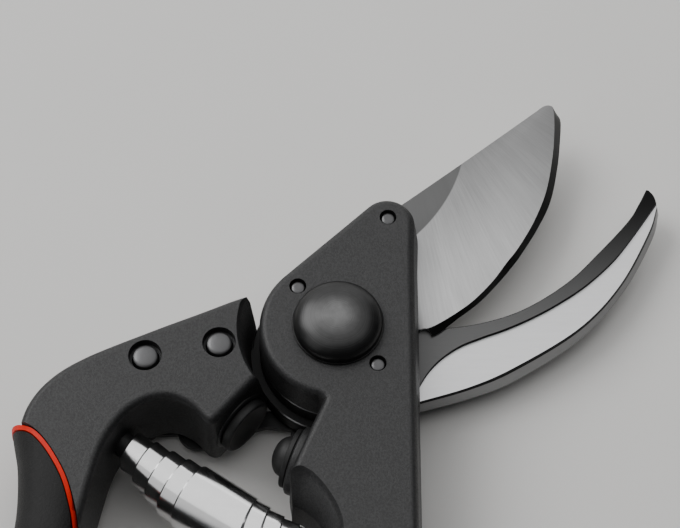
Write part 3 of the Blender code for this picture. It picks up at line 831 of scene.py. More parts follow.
# %% Cutting shapes of the blade handle
def tall(outline):
    """A cutting prism taller than the pruner."""
    return plate("prism", outline, [(TALL_LOW, 0.0), (TALL_HIGH, 0.0)])


def make_hollow():
    """The room for the spring: a pocket below and a wider mouth in the top face."""
    mouth = smooth([(-20.0, -28.0), (-12.0, -29.4), (-8.2, -30.2), (-6.4, -30.7), (-4.4, -32.3),
                    (-1.9, -35.6), (-0.2, -39.1), (0.4, -42.4), (0.0, -47.0), (-3.0, -52.5),
                    (-8.0, -56.5), (-20.0, -58.0)], 8)
    pocket = smooth([(-20.0, -33.0), (-13.0, -34.0), (-9.8, -34.4), (-7.6, -34.6), (-6.0, -35.6),
                     (-4.0, -37.4), (-2.6, -39.9), (-2.3, -42.2), (-2.6, -45.0), (-4.4, -48.4),
                     (-8.0, -50.6), (-20.0, -51.0)], 8)
    levels = ((-1.0, 0.0, 0.0), (12.6, 0.0, 0.0), (13.4, 0.12, 0.0), (20.0, 0.82, 0.0),
              (20.9, 0.95, 0.0), (21.6, 1.0, 0.25), (22.0, 1.0, 0.75), (22.2, 1.0, 1.4),
              (24.0, 1.0, 3.0))
    rings = []
    for z, share, grow in levels:
        ring = [between(a, b, share) for a, b in zip(pocket, mouth)]
        rings.append([(x, y, z) for x, y in inset(ring[::-1], -grow)])
    return solid("hollow", *stack(rings))


def lean_outwards(handle):
    """The forging's draft: the wall beside the blades leans out towards the bottom."""
    for vertex in handle.data.vertices:
        x, _, z = (1000 * c for c in vertex.co)
        beside = min(1.0, max(0.0, (x - DRAFT_FROM_X) / DRAFT_BLEND))
        below = min(1.0, max(0.0, (HANDLE_TOP - DRAFT_BELOW_TOP - z) / DRAFT_HEIGHT))
        vertex.co.x += MM * DRAFT * beside * below


# %% The blade handle, cut and finished
def make_blade_handle():
    handle = plate("blade_handle_skin", blade_handle_outline(),
                   edge_levels(HANDLE_LOW, HANDLE_TOP, low_out=1.0, high_out=0.55,
                               low_round=1.4, high_round=1.5))
    below = region_beside(blade_trim_line(), -TRIM_WIDTH / 2 - GAP, [(-30, -90), (40, -90)])
    combine(handle, tall(below), "DIFFERENCE")
    room = [(40, -8), (40, 70), (-40, 70), (-40, -8)]
    room += arc(PIVOT, CLEARANCE_RADIUS, 203, 337, 60)
    combine(handle, plate("room", room, [(-2.0, 0.0), (HEAD_LOW, 0.0)]), "DIFFERENCE")
    collar = lying("collar", STOP_CENTRE, STOP_DEG,
                   [(6.9, -4.0), (6.9, 1.3), (6.8, 1.65), (6.5, 1.9), (6.1, 2.0)], 72)
    combine(handle, collar, "UNION")
    combine(handle, make_hollow(), "DIFFERENCE")
    bore = lying("bore", SEAT_CENTRE, SEAT_DEG, [(4.3, 0.0), (4.3, 7.0)], 48)
    combine(handle, bore, "DIFFERENCE")
    boss = lying("boss", SEAT_CENTRE, SEAT_DEG, [(2.4, -2.0), (2.4, 2.4), (2.2, 2.9), (1.7, 3.2)],
                 40)
    combine(handle, boss, "UNION")
    drill(handle, [PIVOT], BUSH_BORE, sides=72)
    drill(handle, PIN_PLACES, PIN_BORE)
    drill(handle, [STUD_PLACE], SCREW_BORE, high=9.3)
    stem = lying("stem", STOP_CENTRE, STOP_DEG, [(STEM_BORE, -4.0), (STEM_BORE, 4.0)], 32)
    combine(handle, stem, "DIFFERENCE")
    lean_outwards(handle)
    return finished(handle, COAT)


stands_for(make_blade_handle(), "blade_side", "handle_coat", "blade_handle")

# %% [markdown]
# ## The anvil handle
# The second forging bends round the spring. Its end at the pivot is hollowed to clear the
# head, so a cone takes that end away and leaves a wall that leans out towards the bottom.

# %% Anvil handle
CUSHION_CENTRE = (-19.75, -15.66)
CUSHION_DEG = -40.8
BOSS_CENTRE = (-41.0, -21.5)
BOSS_DEG = -41.0
TANG_HALF_WIDTH = 4.2


def anvil_handle_outline():
    """Top face of the anvil handle, counter-clockwise from its end at the pivot."""
    outside = smooth([(-17.6, 6.2), (-20.6, 5.1), (-26.9, 2.4), (-36.2, -1.5), (-48.5, -7.1),
                      (-55.2, -11.8), (-59.0, -17.4), (-60.2, -24.0), (-60.0, -34.0),
                      (-58.0, -52.0)], 6)
    inside = smooth([(-48.6, -52.0), (-48.4, -42.2), (-46.3, -31.1), (-44.4, -24.4), (-41.2, -19.1),
                     (-38.0, -16.4), (-34.8, -15.2), (-31.4, -15.2), (-27.8, -17.0),
                     (-25.3, -19.6)], 6)
    tip = smooth([(-24.9, -20.0), (-24.2, -20.3), (-23.6, -20.1)], 3)
    face = [(-22.0, -18.3), (-19.0, -14.8), (-14.0, -9.0)]
    return spaced(divided(outside + inside + tip + face + [(-12.0, -3.0)], 2.5))


def tang_outline(start_radius, extra=0.0):
    """The tang: a strip along the line of the rivets with a round end."""
    far, near = RIVET_PLACES
    direction = degrees(atan2(far[1] - near[1], far[0] - near[0]))
    half = TANG_HALF_WIDTH + extra
    begin = turned([(start_radius, -half), (start_radius, half)], direction)
    end = arc(far, half, direction - 90, direction + 90, 24)
    return [begin[0], *end, begin[1]]


# %% The anvil handle, cut and finished
def make_anvil_handle():
    handle = plate("anvil_handle_skin", anvil_handle_outline(),
                   edge_levels(HANDLE_LOW, HANDLE_TOP, low_out=0.8, high_out=0.45,
                               low_round=1.4, high_round=1.5))
    lean = [(17.4, -1.0), (17.4, 9.3), (19.1, 20.8), (19.35, 21.5), (19.8, 22.05), (20.6, 22.6)]
    combine(handle, upright("end_cut", PIVOT, lean, 160), "DIFFERENCE")
    below = region_beside(anvil_trim_line(), -TRIM_WIDTH / 2 - GAP,
                          [(-90, -18), (-90, -90), (-36, -90)])
    combine(handle, tall(below), "DIFFERENCE")
    collar = lying("collar", CUSHION_CENTRE, CUSHION_DEG,
                   [(6.4, -3.0), (6.4, 0.4), (6.3, 0.7), (6.0, 0.9), (5.7, 0.95)], 72)
    combine(handle, collar, "UNION")
    boss = lying("boss", BOSS_CENTRE, BOSS_DEG, [(2.5, -4.0), (2.5, 1.6), (2.3, 2.1), (1.8, 2.4)],
                 40)
    combine(handle, boss, "UNION")
    bed = plate("bed", tang_outline(10.0, 0.3), [(0.0, 0.0), (ANVIL_HIGH + 0.3, 0.0)])
    combine(handle, bed, "DIFFERENCE")
    for place in RIVET_PLACES:
        drill(handle, [place], RIVET_BORE)
        well = [(3.15, 20.2), (3.15, 21.75), (3.3, 22.1), (3.6, 22.5)]
        combine(handle, upright("well", place, well, 64), "DIFFERENCE")
    drill(handle, [CATCH_PLACE], CATCH_BORE, high=11.3)
    stem = lying("stem", CUSHION_CENTRE, CUSHION_DEG, [(STEM_BORE, -5.0), (STEM_BORE, 3.0)], 32)
    combine(handle, stem, "DIFFERENCE")
    return finished(handle, COAT)


stands_for(make_anvil_handle(), "anvil_side", "handle_coat", "anvil_handle")

# %% [markdown]
# ## Grips
# A sleeve of rubber covers each handle, and a thin red band marks where it starts. The
# sleeve is a bar of rounded section along a line. The slanted border is cut with a tall
# prism, so sleeve, band and handle meet along the same curve without touching. The band is
# red where it faces out and black on the handles' inner sides, where the spring would mirror it.

# %% Grips
ANVIL_GRIP_LINE = ((-56.4, -10.0, 7.8, 9.4), (-55.2, -19.2, 7.8, 9.6), (-54.2, -29.0, 7.0, 10.2),
                   (-54.0, -42.0, 7.2, 11.0), (-56.5, -58.0, 8.4, 11.8), (-60.5, -74.0, 9.2, 12.0),
                   (-65.5, -92.0, 9.2, 12.0), (-70.5, -110.0, 8.6, 11.6),
                   (-75.0, -126.0, 8.0, 11.0), (-76.6, -131.5, 6.6, 9.6),
                   (-77.6, -134.6, 3.2, 6.0),)
BLADE_GRIP_LINE = (
    (7.6, -43.0, 9.0, 9.6), (7.4, -54.0, 8.4, 10.4), (7.2, -64.0, 8.6, 11.2),
    (6.6, -78.0, 9.2, 12.0), (5.6, -94.0, 9.2, 12.0), (5.2, -110.0, 8.8, 11.8),
    (6.2, -128.0, 8.2, 11.2), (8.4, -144.0, 7.8, 10.8), (9.3, -149.6, 6.4, 9.6),
    (9.9, -153.0, 3.2, 6.0),
)


SQUARENESS = 0.8
BAND_WIDTH = 0.84
BAND_PROUD = 0.12
INNER_BLACK_HALF = 7.0


# %% Sleeves and bands
def bar(name, line, grow=0.0, sides=56, steps=8):
    """A bar of rounded section along a line of (x, y, half width, half height)."""
    path = smooth(line, steps)
    rings = []
    for i, (x, y, half_width, half_height) in enumerate(path):
        before = path[max(i - 1, 0)]
        after = path[min(i + 1, len(path) - 1)]
        across = Vector((before[1] - after[1], after[0] - before[0])).normalized()
        ring = []
        for k in range(sides):
            a = 2 * pi * k / sides
            side = abs(cos(a)) ** SQUARENESS * (1 if cos(a) > 0 else -1) * (half_width + grow)
            rise = abs(sin(a)) ** SQUARENESS * (1 if sin(a) > 0 else -1) * (half_height + grow)
            ring.append((x + across.x * side, y + across.y * side, MID_Z + rise))
        rings.append(ring)
    return solid(name, *stack(rings), 50)


def make_grip(name, line, trim_line, far_points, inwards):
    sleeve = bar(f"{name}_grip_sleeve", line)
    above = region_beside(trim_line, TRIM_WIDTH / 2 + GAP, far_points)
    combine(sleeve, tall(above), "DIFFERENCE")
    finished(sleeve, GRIP, sharp_deg=50)
    band = bar(f"{name}_grip_band", line, BAND_PROUD)
    strip = shifted(trim_line, BAND_WIDTH / 2) + shifted(trim_line, -BAND_WIDTH / 2)[::-1]
    combine(band, tall(strip[::-1]), "INTERSECT")
    finished(band, RED, GRIP, sharp_deg=50)
    for face in band.data.polygons:
        at_mid_height = abs(face.center.z - MM * MID_Z) < MM * INNER_BLACK_HALF
        if face.normal.x * inwards > 0.35 and at_mid_height:
            face.material_index = 1
    return sleeve, band


for side, line, trim, far, inwards in (
    ("blade", BLADE_GRIP_LINE, blade_trim_line(), [(-30, 20), (40, 20)], -1),
    ("anvil", ANVIL_GRIP_LINE, anvil_trim_line(), [(-80, 20), (-20, 20), (-20, -54)], 1),
):
    sleeve, band = make_grip(side, line, trim, far, inwards)
    stands_for(sleeve, f"{side}_side", "grip_rubber", f"{side}_grip")
    stands_for(band, f"{side}_side", "accent_red", f"{side}_grip_trim")

# %% [markdown]
# ## The cutting blade
# The blade is a flat plate, ground thinner from a curved border towards its edge, and then
# bevelled to the edge itself. Three curves describe it: the spine, the top of the bevel and
# the edge. A sheet of quads runs between them, and its height follows the grinding.

# %% Cutting blade
GRIND_CENTRE = (-9.4, 50.8)
GRIND_RADIUS = 36.2
SCRATCH_CENTRE = (9.0, 74.0)
BLADE_ROWS = 150
FLAT_COLUMNS = 24
BEVEL_COLUMNS = 4
GRIND_DEPTH = 1.9
ROOT_GRIND_DEPTH = 1.5
ROOT_ROWS = 26
GRIND_SLOPE = 0.14
GRIND_BORDER = 0.2
EDGE_THICKNESS = 0.06
HEEL_RADIUS = 15.6
NOTCH_PLACE, NOTCH_RADIUS = (17.4, 3.8), 1.3
RELIEF_PLACE, RELIEF_RADIUS = (15.4, 3.6), 1.5
STEEP_FROM, STEEP_TO = 0.2, 0.94
BEVEL_FROM_X = 15.0
HEEL_REACH = 17.0


def resampled(points, count):
    """The same line with points at equal distances."""
    lengths = [0.0]
    for p, q in zip(points, points[1:]):
        lengths.append(lengths[-1] + apart(p, q))
    out = []
    k = 0
    for i in range(count):
        want = lengths[-1] * i / (count - 1)
        while k < len(points) - 2 and lengths[k + 1] < want:
            k += 1
        span = lengths[k + 1] - lengths[k]
        t = (want - lengths[k]) / span if span else 0.0
        out.append(between(points[k], points[k + 1], t))
    return out


# %% The blade as a sheet of quads
def make_cutting_blade():
    spine = smooth([(6.0, 26.6), (13.1, 32.0), (25.6, 41.8), (34.0, 48.5), (41.2, 54.3),
                    (42.4, 55.3), (43.3, 56.0), (44.3, 56.35), (45.1, 56.2)], 8)
    bevel = smooth([(14.6, 5.0), (18.1, 5.1), (22.0, 7.0), (26.5, 10.1), (31.0, 14.8), (34.2, 19.3),
                    (37.0, 23.2), (40.4, 29.3), (43.2, 36.4), (44.9, 44.6), (45.5, 50.6),
                    (45.6, 54.0), (45.35, 55.95)], 8)
    edge = smooth([(14.9, 3.4), (19.4, 3.9), (24.0, 7.5), (28.5, 11.2), (32.6, 15.7), (36.1, 20.2),
                   (37.7, 22.6), (41.1, 28.3), (44.2, 35.0), (46.1, 43.4), (47.0, 50.4),
                   (47.3, 54.8), (46.5, 56.7)], 8)
    rows = BLADE_ROWS
    lines = [resampled(line, rows) for line in (spine, bevel, edge)]
    columns = [(0, k / FLAT_COLUMNS) for k in range(FLAT_COLUMNS + 1)]
    columns += [(1, k / BEVEL_COLUMNS) for k in range(1, BEVEL_COLUMNS + 1)]
    top = []
    for i in range(rows):
        a, b, c = (line[i] for line in lines)
        row = []
        for part, t in columns:
            x, y = between(*((a, b), (b, c))[part], t)
            ground = GRIND_DEPTH + ROOT_GRIND_DEPTH * max(0.0, 1.0 - i / ROOT_ROWS)
            ground = min(ground, GRIND_SLOPE * apart(a, b))
            depth = ground * (max(0.0, t - GRIND_BORDER) / (1.0 - GRIND_BORDER)) ** 1.3
            if part == 1:
                depth = ground + (BLADE_HIGH - BLADE_LOW - ground - EDGE_THICKNESS) * t
            row.append((x, y, BLADE_HIGH - depth))
        top.append(row)
    width = len(columns)
    verts = [v for row in top for v in row]
    low = len(verts)
    verts += [(x, y, BLADE_LOW) for x, y, _ in verts]
    faces = []
    for i in range(rows - 1):
        for k in range(width - 1):
            a = i * width + k
            faces.append((a, a + 1, a + width + 1, a + width))
            faces.append((low + a, low + a + width, low + a + width + 1, low + a + 1))
    border = list(range(width))
    border += [i * width + width - 1 for i in range(1, rows)]
    border += [(rows - 1) * width + k for k in range(width - 2, -1, -1)]
    border += [i * width for i in range(rows - 2, 0, -1)]
    for a, b in zip(border, border[1:] + border[:1]):
        faces.append((a, b, low + b, low + a))
    blade = solid("cutting_blade_ground", verts, faces, 20)
    heel = arc(PIVOT, HEEL_RADIUS, -14, -227, 80) + [(5.6, 24.6), (7.0, 26.0), (15.6, 24.0),
                                                     (15.6, 5.6)]
    heel_levels = [(BLADE_LOW + 0.02, 0.0), (BLADE_HIGH - 0.25, 0.0), (BLADE_HIGH - 0.05, 0.2)]
    combine(blade, plate("heel", heel[::-1], heel_levels), "UNION")
    drill(blade, [NOTCH_PLACE], NOTCH_RADIUS, low=5.0, high=16.0, sides=40)
    drill(blade, [RELIEF_PLACE], RELIEF_RADIUS, low=5.0, high=16.0)
    drill(blade, [PIVOT], BUSH_BORE, sides=72)
    drill(blade, PIN_PLACES, PIN_BORE)
    return blade


# %% The blade's finish
def blade_steel():
    """Ground steel on the flat, brighter past the curved border of the grinding, with painted shade
    just past that border and towards the tip.
    """
    steel = Finish("blade_steel", (0.6, 0.6, 0.61), 0.33, 1.0)
    x, y, _ = steel.split(steel.place)
    reach = steel.distance(x, y, GRIND_CENTRE)
    ground = reach.step(GRIND_RADIUS - 0.15, GRIND_RADIUS + 0.15)
    angle = steel.maths("ARCTAN2", y * 1000 - SCRATCH_CENTRE[1], x * 1000 - SCRATCH_CENTRE[0])
    far = steel.distance(x, y, SCRATCH_CENTRE)
    close = steel.noise(0.001, 3.0, 0.7, steel.join(angle * 150.0, far * 0.10, 0.0))
    wide = steel.noise(0.001, 2.0, 0.5, steel.join(angle * 16.0, reach * 0.04, 0.0))
    # painted shade: the ground face is darker for 14 mm past its border
    painted_border_shade = 1.0 - reach.step(GRIND_RADIUS, GRIND_RADIUS + 14.0)
    # painted shade: the ground face darkens towards the tip
    tip = (y * 1000).step(16.0, 58.0)
    bright = (0.36 + 0.24 * close + 0.11 * wide - 0.13 * painted_border_shade) * (1.0 - 0.56 * tip)
    flat = 0.115 + 0.03 * wide
    steel.set("Base Color", steel.grey(flat + (bright - flat) * ground))
    steel.set("Roughness", 0.42 - 0.08 * ground + 0.08 * close)
    steel.bump(close * ground, 0.006, 0.5)
    return steel


def assign_bevel(blade):
    """The steep faces along the edge and the heel's wall get the second material, a near-black
    painted shade;
    the heel's rounded border gets the third, a lighter steel painted as a glint."""
    for face in blade.data.polygons:
        x, y, _ = (1000 * c for c in face.center)
        steep = STEEP_FROM < face.normal.z < STEEP_TO
        at_heel = abs(face.normal.z) < STEEP_FROM and apart((x, y), PIVOT) < HEEL_REACH
        if at_heel or (steep and x > BEVEL_FROM_X):
            face.material_index = 1
        elif steep:
            face.material_index = 2


# %% The blade, dressed
cutting_blade = make_cutting_blade()
BLADE_STEEL = blade_steel()
# painted shade: near black and hardly reflective, standing in for the dark that the bevel and the
# heel's wall mirror
PAINTED_SHADE_BEVEL = ground_steel("bevel_steel", low=0.004, high=0.009, roughness=0.35,
                           degrees_ccw=60.0, depth=0.003)
PAINTED_SHADE_BEVEL.set("Metallic", 0.0)
PAINTED_SHADE_BEVEL.set("Specular IOR Level", 0.1)
# painted glint: a lighter steel on the heel's rounded border and on the anvil plate's top edge near
# the pivot
PAINTED_GLINT_STEEL = ground_steel("edge_steel", low=0.2, high=0.3, roughness=0.3,
                           degrees_ccw=35.0, depth=0.003)
finished(cutting_blade, BLADE_STEEL, PAINTED_SHADE_BEVEL, PAINTED_GLINT_STEEL, sharp_deg=20)
assign_bevel(cutting_blade)
stands_for(cutting_blade, "blade_side", "ground_steel", "cutting_blade")

# %% [markdown]
# ## The anvil blade
# The hook, the plate round the pivot and the tang are one forging. Its upper face keeps a
# rim along the inner edge, which meets the cutting blade, and behind the rim the face is
# ground lower and bright. The hook's outer wall leans.

# %% Anvil blade
RECESS_DEPTH = 0.8
RECESS_Z = ANVIL_HIGH - RECESS_DEPTH
DISC_RADIUS = 17.2
RIM_CENTRE = (20.0, 43.0)
LEVEL = 0.9
BEYOND_DISC_X = 10


def rim_line():
    """The step between rim and ground recess, from the tip back to the root."""
    return smooth([(68.0, 37.6), (65.7, 34.3), (60.3, 26.5), (56.0, 21.0), (50.3, 15.6),
                   (44.4, 11.4), (38.9, 8.2), (33.6, 5.7), (28.7, 3.8), (23.9, 1.6), (19.4, -2.0),
                   (16.2, -6.6), (13.6, -13.0)], 8)


def anvil_outline(outer):
    """Outline of the anvil blade; outer gives the hook's back, root to tip."""
    inner = smooth([(64.4, 38.1), (62.6, 34.6), (60.1, 30.5), (53.8, 23.3), (46.8, 16.2),
                    (37.7, 10.1), (28.8, 6.9), (19.5, 5.4)], 8)
    disc = arc(PIVOT, DISC_RADIUS, 57, 176, 60)
    tang = tang_outline(17.0)
    rest = arc(PIVOT, DISC_RADIUS, 206, 318, 60)
    return spaced(outer + inner + disc + tang + rest, 0.05)


def outer_line(spread):
    """Back of the hook, root to tip; spread 0 is the ground face's border, 1 the lowest wall."""
    top = [(16.2, -10.2), (26.2, -7.0), (35.1, -2.8), (48.5, 5.9), (57.5, 15.8), (64.2, 28.0),
           (66.4, 34.3)]
    low = [(16.4, -11.0), (26.5, -8.0), (35.8, -4.0), (49.4, 5.3), (58.8, 16.2), (65.4, 28.2),
           (67.2, 34.4)]
    points = [between(a, b, spread) for a, b in zip(top, low)]
    return smooth(points, 8) + smooth([points[-1], (points[-1][0] - 0.5, 36.6), (64.9, 38.0)],
                                      3)[1:]


# %% The anvil blade as stacked outlines
def make_anvil_blade():
    levels = ((ANVIL_LOW, 0.85, 0.25), (ANVIL_LOW + 0.3, 1.0, 0.0), (RECESS_Z - 0.7, 0.30, 0.0),
              (RECESS_Z, 0.0, 0.0), (ANVIL_HIGH - 0.2, 0.0, 0.0), (ANVIL_HIGH, 0.0, 0.2))
    rings = []
    for z, spread, shrink in levels:
        rings.append([(x, y, z) for x, y in inset(anvil_outline(outer_line(spread)), shrink)])
    blade = solid("anvil_blade_forged", *stack(rings), 25)
    line = rim_line()
    far = [(15.0, -30.0), (90.0, -30.0), (90.0, 37.6)]
    high = region_beside(line, 0.0, far)
    low = region_beside(line, 0.28, far)
    verts, faces = stack([[(x, y, RECESS_Z) for x, y in low],
                          [(x, y, ANVIL_HIGH + 1.0) for x, y in high]])
    combine(blade, solid("grinding", verts, faces), "DIFFERENCE")
    drill(blade, [PIVOT], BOLT_BORE, sides=72)
    drill(blade, RIVET_PLACES, RIVET_BORE)
    drill(blade, [SEGMENT_SCREW_PLACE], SCREW_BORE, high=7.4)
    return blade


# %% The anvil blade's finish
def rim_steel():
    """Grey forged rim with painted shade round the pivot, under the head, and towards the hook's
    tip; brushed along its length.
    """
    steel = Finish("rim_steel", (0.22, 0.22, 0.225), 0.38, 1.0)
    x, y, _ = steel.split(steel.place)
    # painted shade: darker towards the hook's tip
    painted_hook_tip_shade = (y * 1000).step(0.0, 38.0)
    angle = steel.maths("ARCTAN2", y * 1000 - RIM_CENTRE[1], x * 1000 - RIM_CENTRE[0])
    reach = steel.distance(x, y, RIM_CENTRE)
    along = steel.join(reach * 5.0, angle * 6.0, 0.0)
    streak = steel.node("ShaderNodeTexNoise", None, {"Vector": along, "Scale": 1.0, "Detail": 3.0})
    # painted shade: darker where x is below about 12 mm, round the pivot under the head
    painted_pivot_shade = 1.0 - (x * 1000).step(6.0, 12.0)
    shade = (1.0 - 0.8 * painted_pivot_shade) * (1.0 - 0.9 * painted_hook_tip_shade) * (0.108 + 0.025 * streak)
    steel.set("Base Color", steel.grey(shade))
    steel.set("Roughness", 0.40 + 0.10 * streak)
    steel.bump(streak, 0.006, 0.4)
    return steel


def assign_anvil_faces(blade):
    """0 rim and plate, 1 bright recess, 2 steps in painted shade, 3 outer wall and reverse, 4 edge
    with a painted glint.
    """
    for face in blade.data.polygons:
        x, y, z = (1000 * c for c in face.center)
        near_disc = apart((x, y), PIVOT) < DISC_RADIUS + 0.8
        if face.normal.z < -LEVEL:
            face.material_index = 3
        elif face.normal.z > LEVEL:
            face.material_index = int(abs(z - RECESS_Z) < 0.1 and x > BEYOND_DISC_X)
        elif z > ANVIL_HIGH - 0.25 and near_disc:
            face.material_index = 4
        elif z > RECESS_Z - 0.72:
            face.material_index = 2
        elif x > BEYOND_DISC_X:
            face.material_index = 3


# %% The anvil blade, dressed
anvil_blade = make_anvil_blade()
RIM_STEEL = rim_steel()
RECESS_STEEL = ground_steel("recess_steel", low=0.62, high=0.78, roughness=0.36,
                           degrees_ccw=35.0, depth=0.003)
# painted shade: near-black steps, standing in for the shadow line along the step
PAINTED_SHADE_STEP = ground_steel("step_steel", low=0.010, high=0.03, roughness=0.5,
                           degrees_ccw=35.0, depth=0.003)
WALL_STEEL = ground_steel("wall_steel", low=0.22, high=0.32, roughness=0.42,
                           degrees_ccw=35.0, depth=0.004)
finished(anvil_blade, RIM_STEEL, RECESS_STEEL, PAINTED_SHADE_STEP, WALL_STEEL, PAINTED_GLINT_STEEL, sharp_deg=25)
assign_anvil_faces(anvil_blade)
stands_for(anvil_blade, "anvil_side", "forged_steel", "anvil_blade")

# %% [markdown]
# ## Pins and rivets with Geometry Nodes
# A rivet is turned once and then repeated. The tree takes a few loose points, puts a copy of
# the turned piece on each, and turns the copies into real geometry. Made this way, a change
# to the turned profile reaches every copy.

# %% Repeating on points
def geometry_group(name, sizes, objects=(), integers=()):
    """A Geometry Nodes group with a geometry input and named numbers, and its values."""
    group = bpy.data.node_groups.new(name, "GeometryNodeTree")
    group.interface.new_socket("Geometry", in_out="INPUT", socket_type="NodeSocketGeometry")
    for key, value in sizes.items():
        kind = "NodeSocketInt" if key in integers else "NodeSocketFloat"
        socket = group.interface.new_socket(key, in_out="INPUT", socket_type=kind)
        socket.default_value = value
    for key in objects:
        group.interface.new_socket(key, in_out="INPUT", socket_type="NodeSocketObject")
    group.interface.new_socket("Geometry", in_out="OUTPUT", socket_type="NodeSocketGeometry")
    graph = Graph(group)
    entry = group.nodes.new("NodeGroupInput")
    values = {socket.name: Value(graph, socket) for socket in entry.outputs if socket.name}
    return graph, values


def close_group(graph, geometry, finish):
    """Realizes instances, sets the material and ends the group."""
    real = graph.node("GeometryNodeRealizeInstances", None, {"Geometry": geometry})
    dressed = graph.node("GeometryNodeSetMaterial", None,
                         {"Geometry": real, "Material": finish.material})
    leave = graph.tree.nodes.new("NodeGroupOutput")
    graph.tree.links.new(dressed.socket, leave.inputs[0])


def grown(name, graph, mesh, settings):
    """A plain mesh object from running the group on a mesh, with inputs set by identifier."""
    piece = bpy.data.objects.new(name, mesh)
    scene.collection.objects.link(piece)
    modifier = piece.modifiers.new("grow", "NODES")
    modifier.node_group = graph.tree
    for item in graph.tree.interface.items_tree:
        if item.item_type == "SOCKET" and item.in_out == "INPUT" and item.name in settings:
            modifier[item.identifier] = settings[item.name]
    return applied(piece)


def points_mesh(name, places):
    """Loose points at plan places."""
    mesh = bpy.data.meshes.new(name)
    mesh.from_pydata([(MM * x, MM * y, 0.0) for x, y in places], [], [])
    return mesh


def repeated(name, places, profile, finish, sides=48):
    """A turned piece on each place."""
    pattern = upright(f"{name}_pattern", PIVOT, profile, sides)
    mark_middle(pattern, PIVOT)
    graph, values = geometry_group(name, {"Size": 1.0}, ("Piece",))
    info = graph.node("GeometryNodeObjectInfo", None, {"Object": values["Piece"]}, "Geometry")
    copies = graph.node("GeometryNodeInstanceOnPoints", None,
                        {"Points": values["Geometry"], "Instance": info,
                         "Scale": graph.join(values["Size"], values["Size"], values["Size"])})
    close_group(graph, copies, finish)
    piece = grown(name, graph, points_mesh(name, places), {"Size": 1.0, "Piece": pattern})
    bpy.data.objects.remove(pattern, do_unlink=True)
    return piece


# %% Pins and rivets
pin_profile = [(1.36, BLADE_LOW + 0.3), (1.36, 21.15), (1.28, 21.35), (1.05, 21.47), (0.6, 21.5),
               (0.2, 21.48)]
stands_for(repeated("blade_pins", PIN_PLACES, pin_profile, PIN_STEEL), "blade_side", "pin_steel",
           "blade_pin_1", "blade_pin_2", "blade_pin_3")

rivet_profile = [(2.3, ANVIL_LOW + 0.1), (2.3, 19.8), (2.5, 20.3), (2.5, 21.1), (2.38, 21.4),
                 (2.1, 21.6), (1.6, 21.7), (0.8, 21.74), (0.2, 21.75)]
stands_for(repeated("anvil_rivets", RIVET_PLACES, rivet_profile, RIVET_STEEL, 64), "anvil_side",
           "pin_steel", "anvil_rivet_1", "anvil_rivet_2")

# %% [markdown]
# ## The pivot bolt
# The bolt's head is a low satin dome on a thin flange, with a groove between them. It is a
# turned piece, so one profile is enough, and the faint rings come from its finish.

# %% Pivot bolt
def make_pivot_bolt():
    shank = [(3.4, 0.0), (3.8, 0.3), (3.8, 4.3), (5.0, 4.4), (5.0, 22.12)]
    flange = [(8.7, 22.12), (8.9, 22.2), (8.95, 22.35), (8.85, 22.5)]
    neck = [(8.45, 22.55), (8.4, 22.7), (8.72, 22.75), (8.8, 22.85)]
    head = dome(radius=8.8, base=22.85, rise=3.6, fullness=0.82, steps=18)
    profile = shank + flange + neck + head + [(0.3, 26.45)]
    bolt = upright("pivot_bolt_turned", PIVOT, profile, 128, sharp_deg=40)
    mark_middle(bolt, PIVOT)
    dress(bolt, DOME)
    return bolt


stands_for(make_pivot_bolt(), "anvil_side", "black_steel", "pivot_bolt")

# %% [markdown]
# ## The toothed nut
# The adjusting nut sits on the reverse side. Its teeth repeat round a circle, which is what
# Geometry Nodes do well: one tooth, a ring of points, and a turn for each copy.

# %% Toothed nut
NUT_LOW, NUT_HIGH = [1000 * c.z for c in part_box("pivot_nut")]
NUT_RADIUS = 8.2
NUT_TEETH = 24


def make_nut():
    flank = [(6.9, -0.8), (7.5, -0.75), (8.1, -0.35)]
    outline = flank + [(NUT_RADIUS, 0.0)] + [(x, -y) for x, y in flank[::-1]]
    levels = [(NUT_LOW + 0.1, 0.1), (NUT_LOW + 0.3, 0.0), (NUT_HIGH - 0.2, 0.0),
              (NUT_HIGH - 0.02, 0.1)]
    tooth = plate("tooth", outline, levels)
    graph, values = geometry_group("nut_teeth", {"Teeth": NUT_TEETH}, ("Tooth",), ("Teeth",))
    ring = graph.node("GeometryNodeMeshLine", {"mode": "OFFSET"},
                      {"Count": values["Teeth"], "Offset": (0.0, 0.0, 0.0)})
    index = graph.node("GeometryNodeInputIndex")
    turn = index * (2 * pi) / values["Teeth"]
    info = graph.node("GeometryNodeObjectInfo", None, {"Object": values["Tooth"]}, "Geometry")
    copies = graph.node("GeometryNodeInstanceOnPoints", None,
                        {"Points": ring, "Instance": info, "Rotation": graph.join(0.0, 0.0, turn)})
    close_group(graph, copies, BLACKENED)
    nut = grown("pivot_nut_toothed", graph, points_mesh("nut", [PIVOT]),
                {"Teeth": NUT_TEETH, "Tooth": tooth})
    bpy.data.objects.remove(tooth, do_unlink=True)
    body = [(4.1, NUT_LOW), (7.0, NUT_LOW), (7.35, NUT_LOW + 0.3), (7.4, NUT_HIGH), (4.1, NUT_HIGH)]
    combine(nut, upright("nut_body", PIVOT, body, 96, hollow=True), "UNION")
    return finished(nut, BLACKENED, sharp_deg=30)


stands_for(make_nut(), "anvil_side", "black_steel", "pivot_nut")

# %% [markdown]
# ## The volute spring
# The spring is one strip of polished steel, wound outwards to the middle and inwards again,
# so that each turn slides inside the next. The shape follows a rule, and the tree states it:
# a long grid is rolled up by angle, radius and advance, thickened, and set smooth.
# The straight spring is then laid along the arc between its two seats.

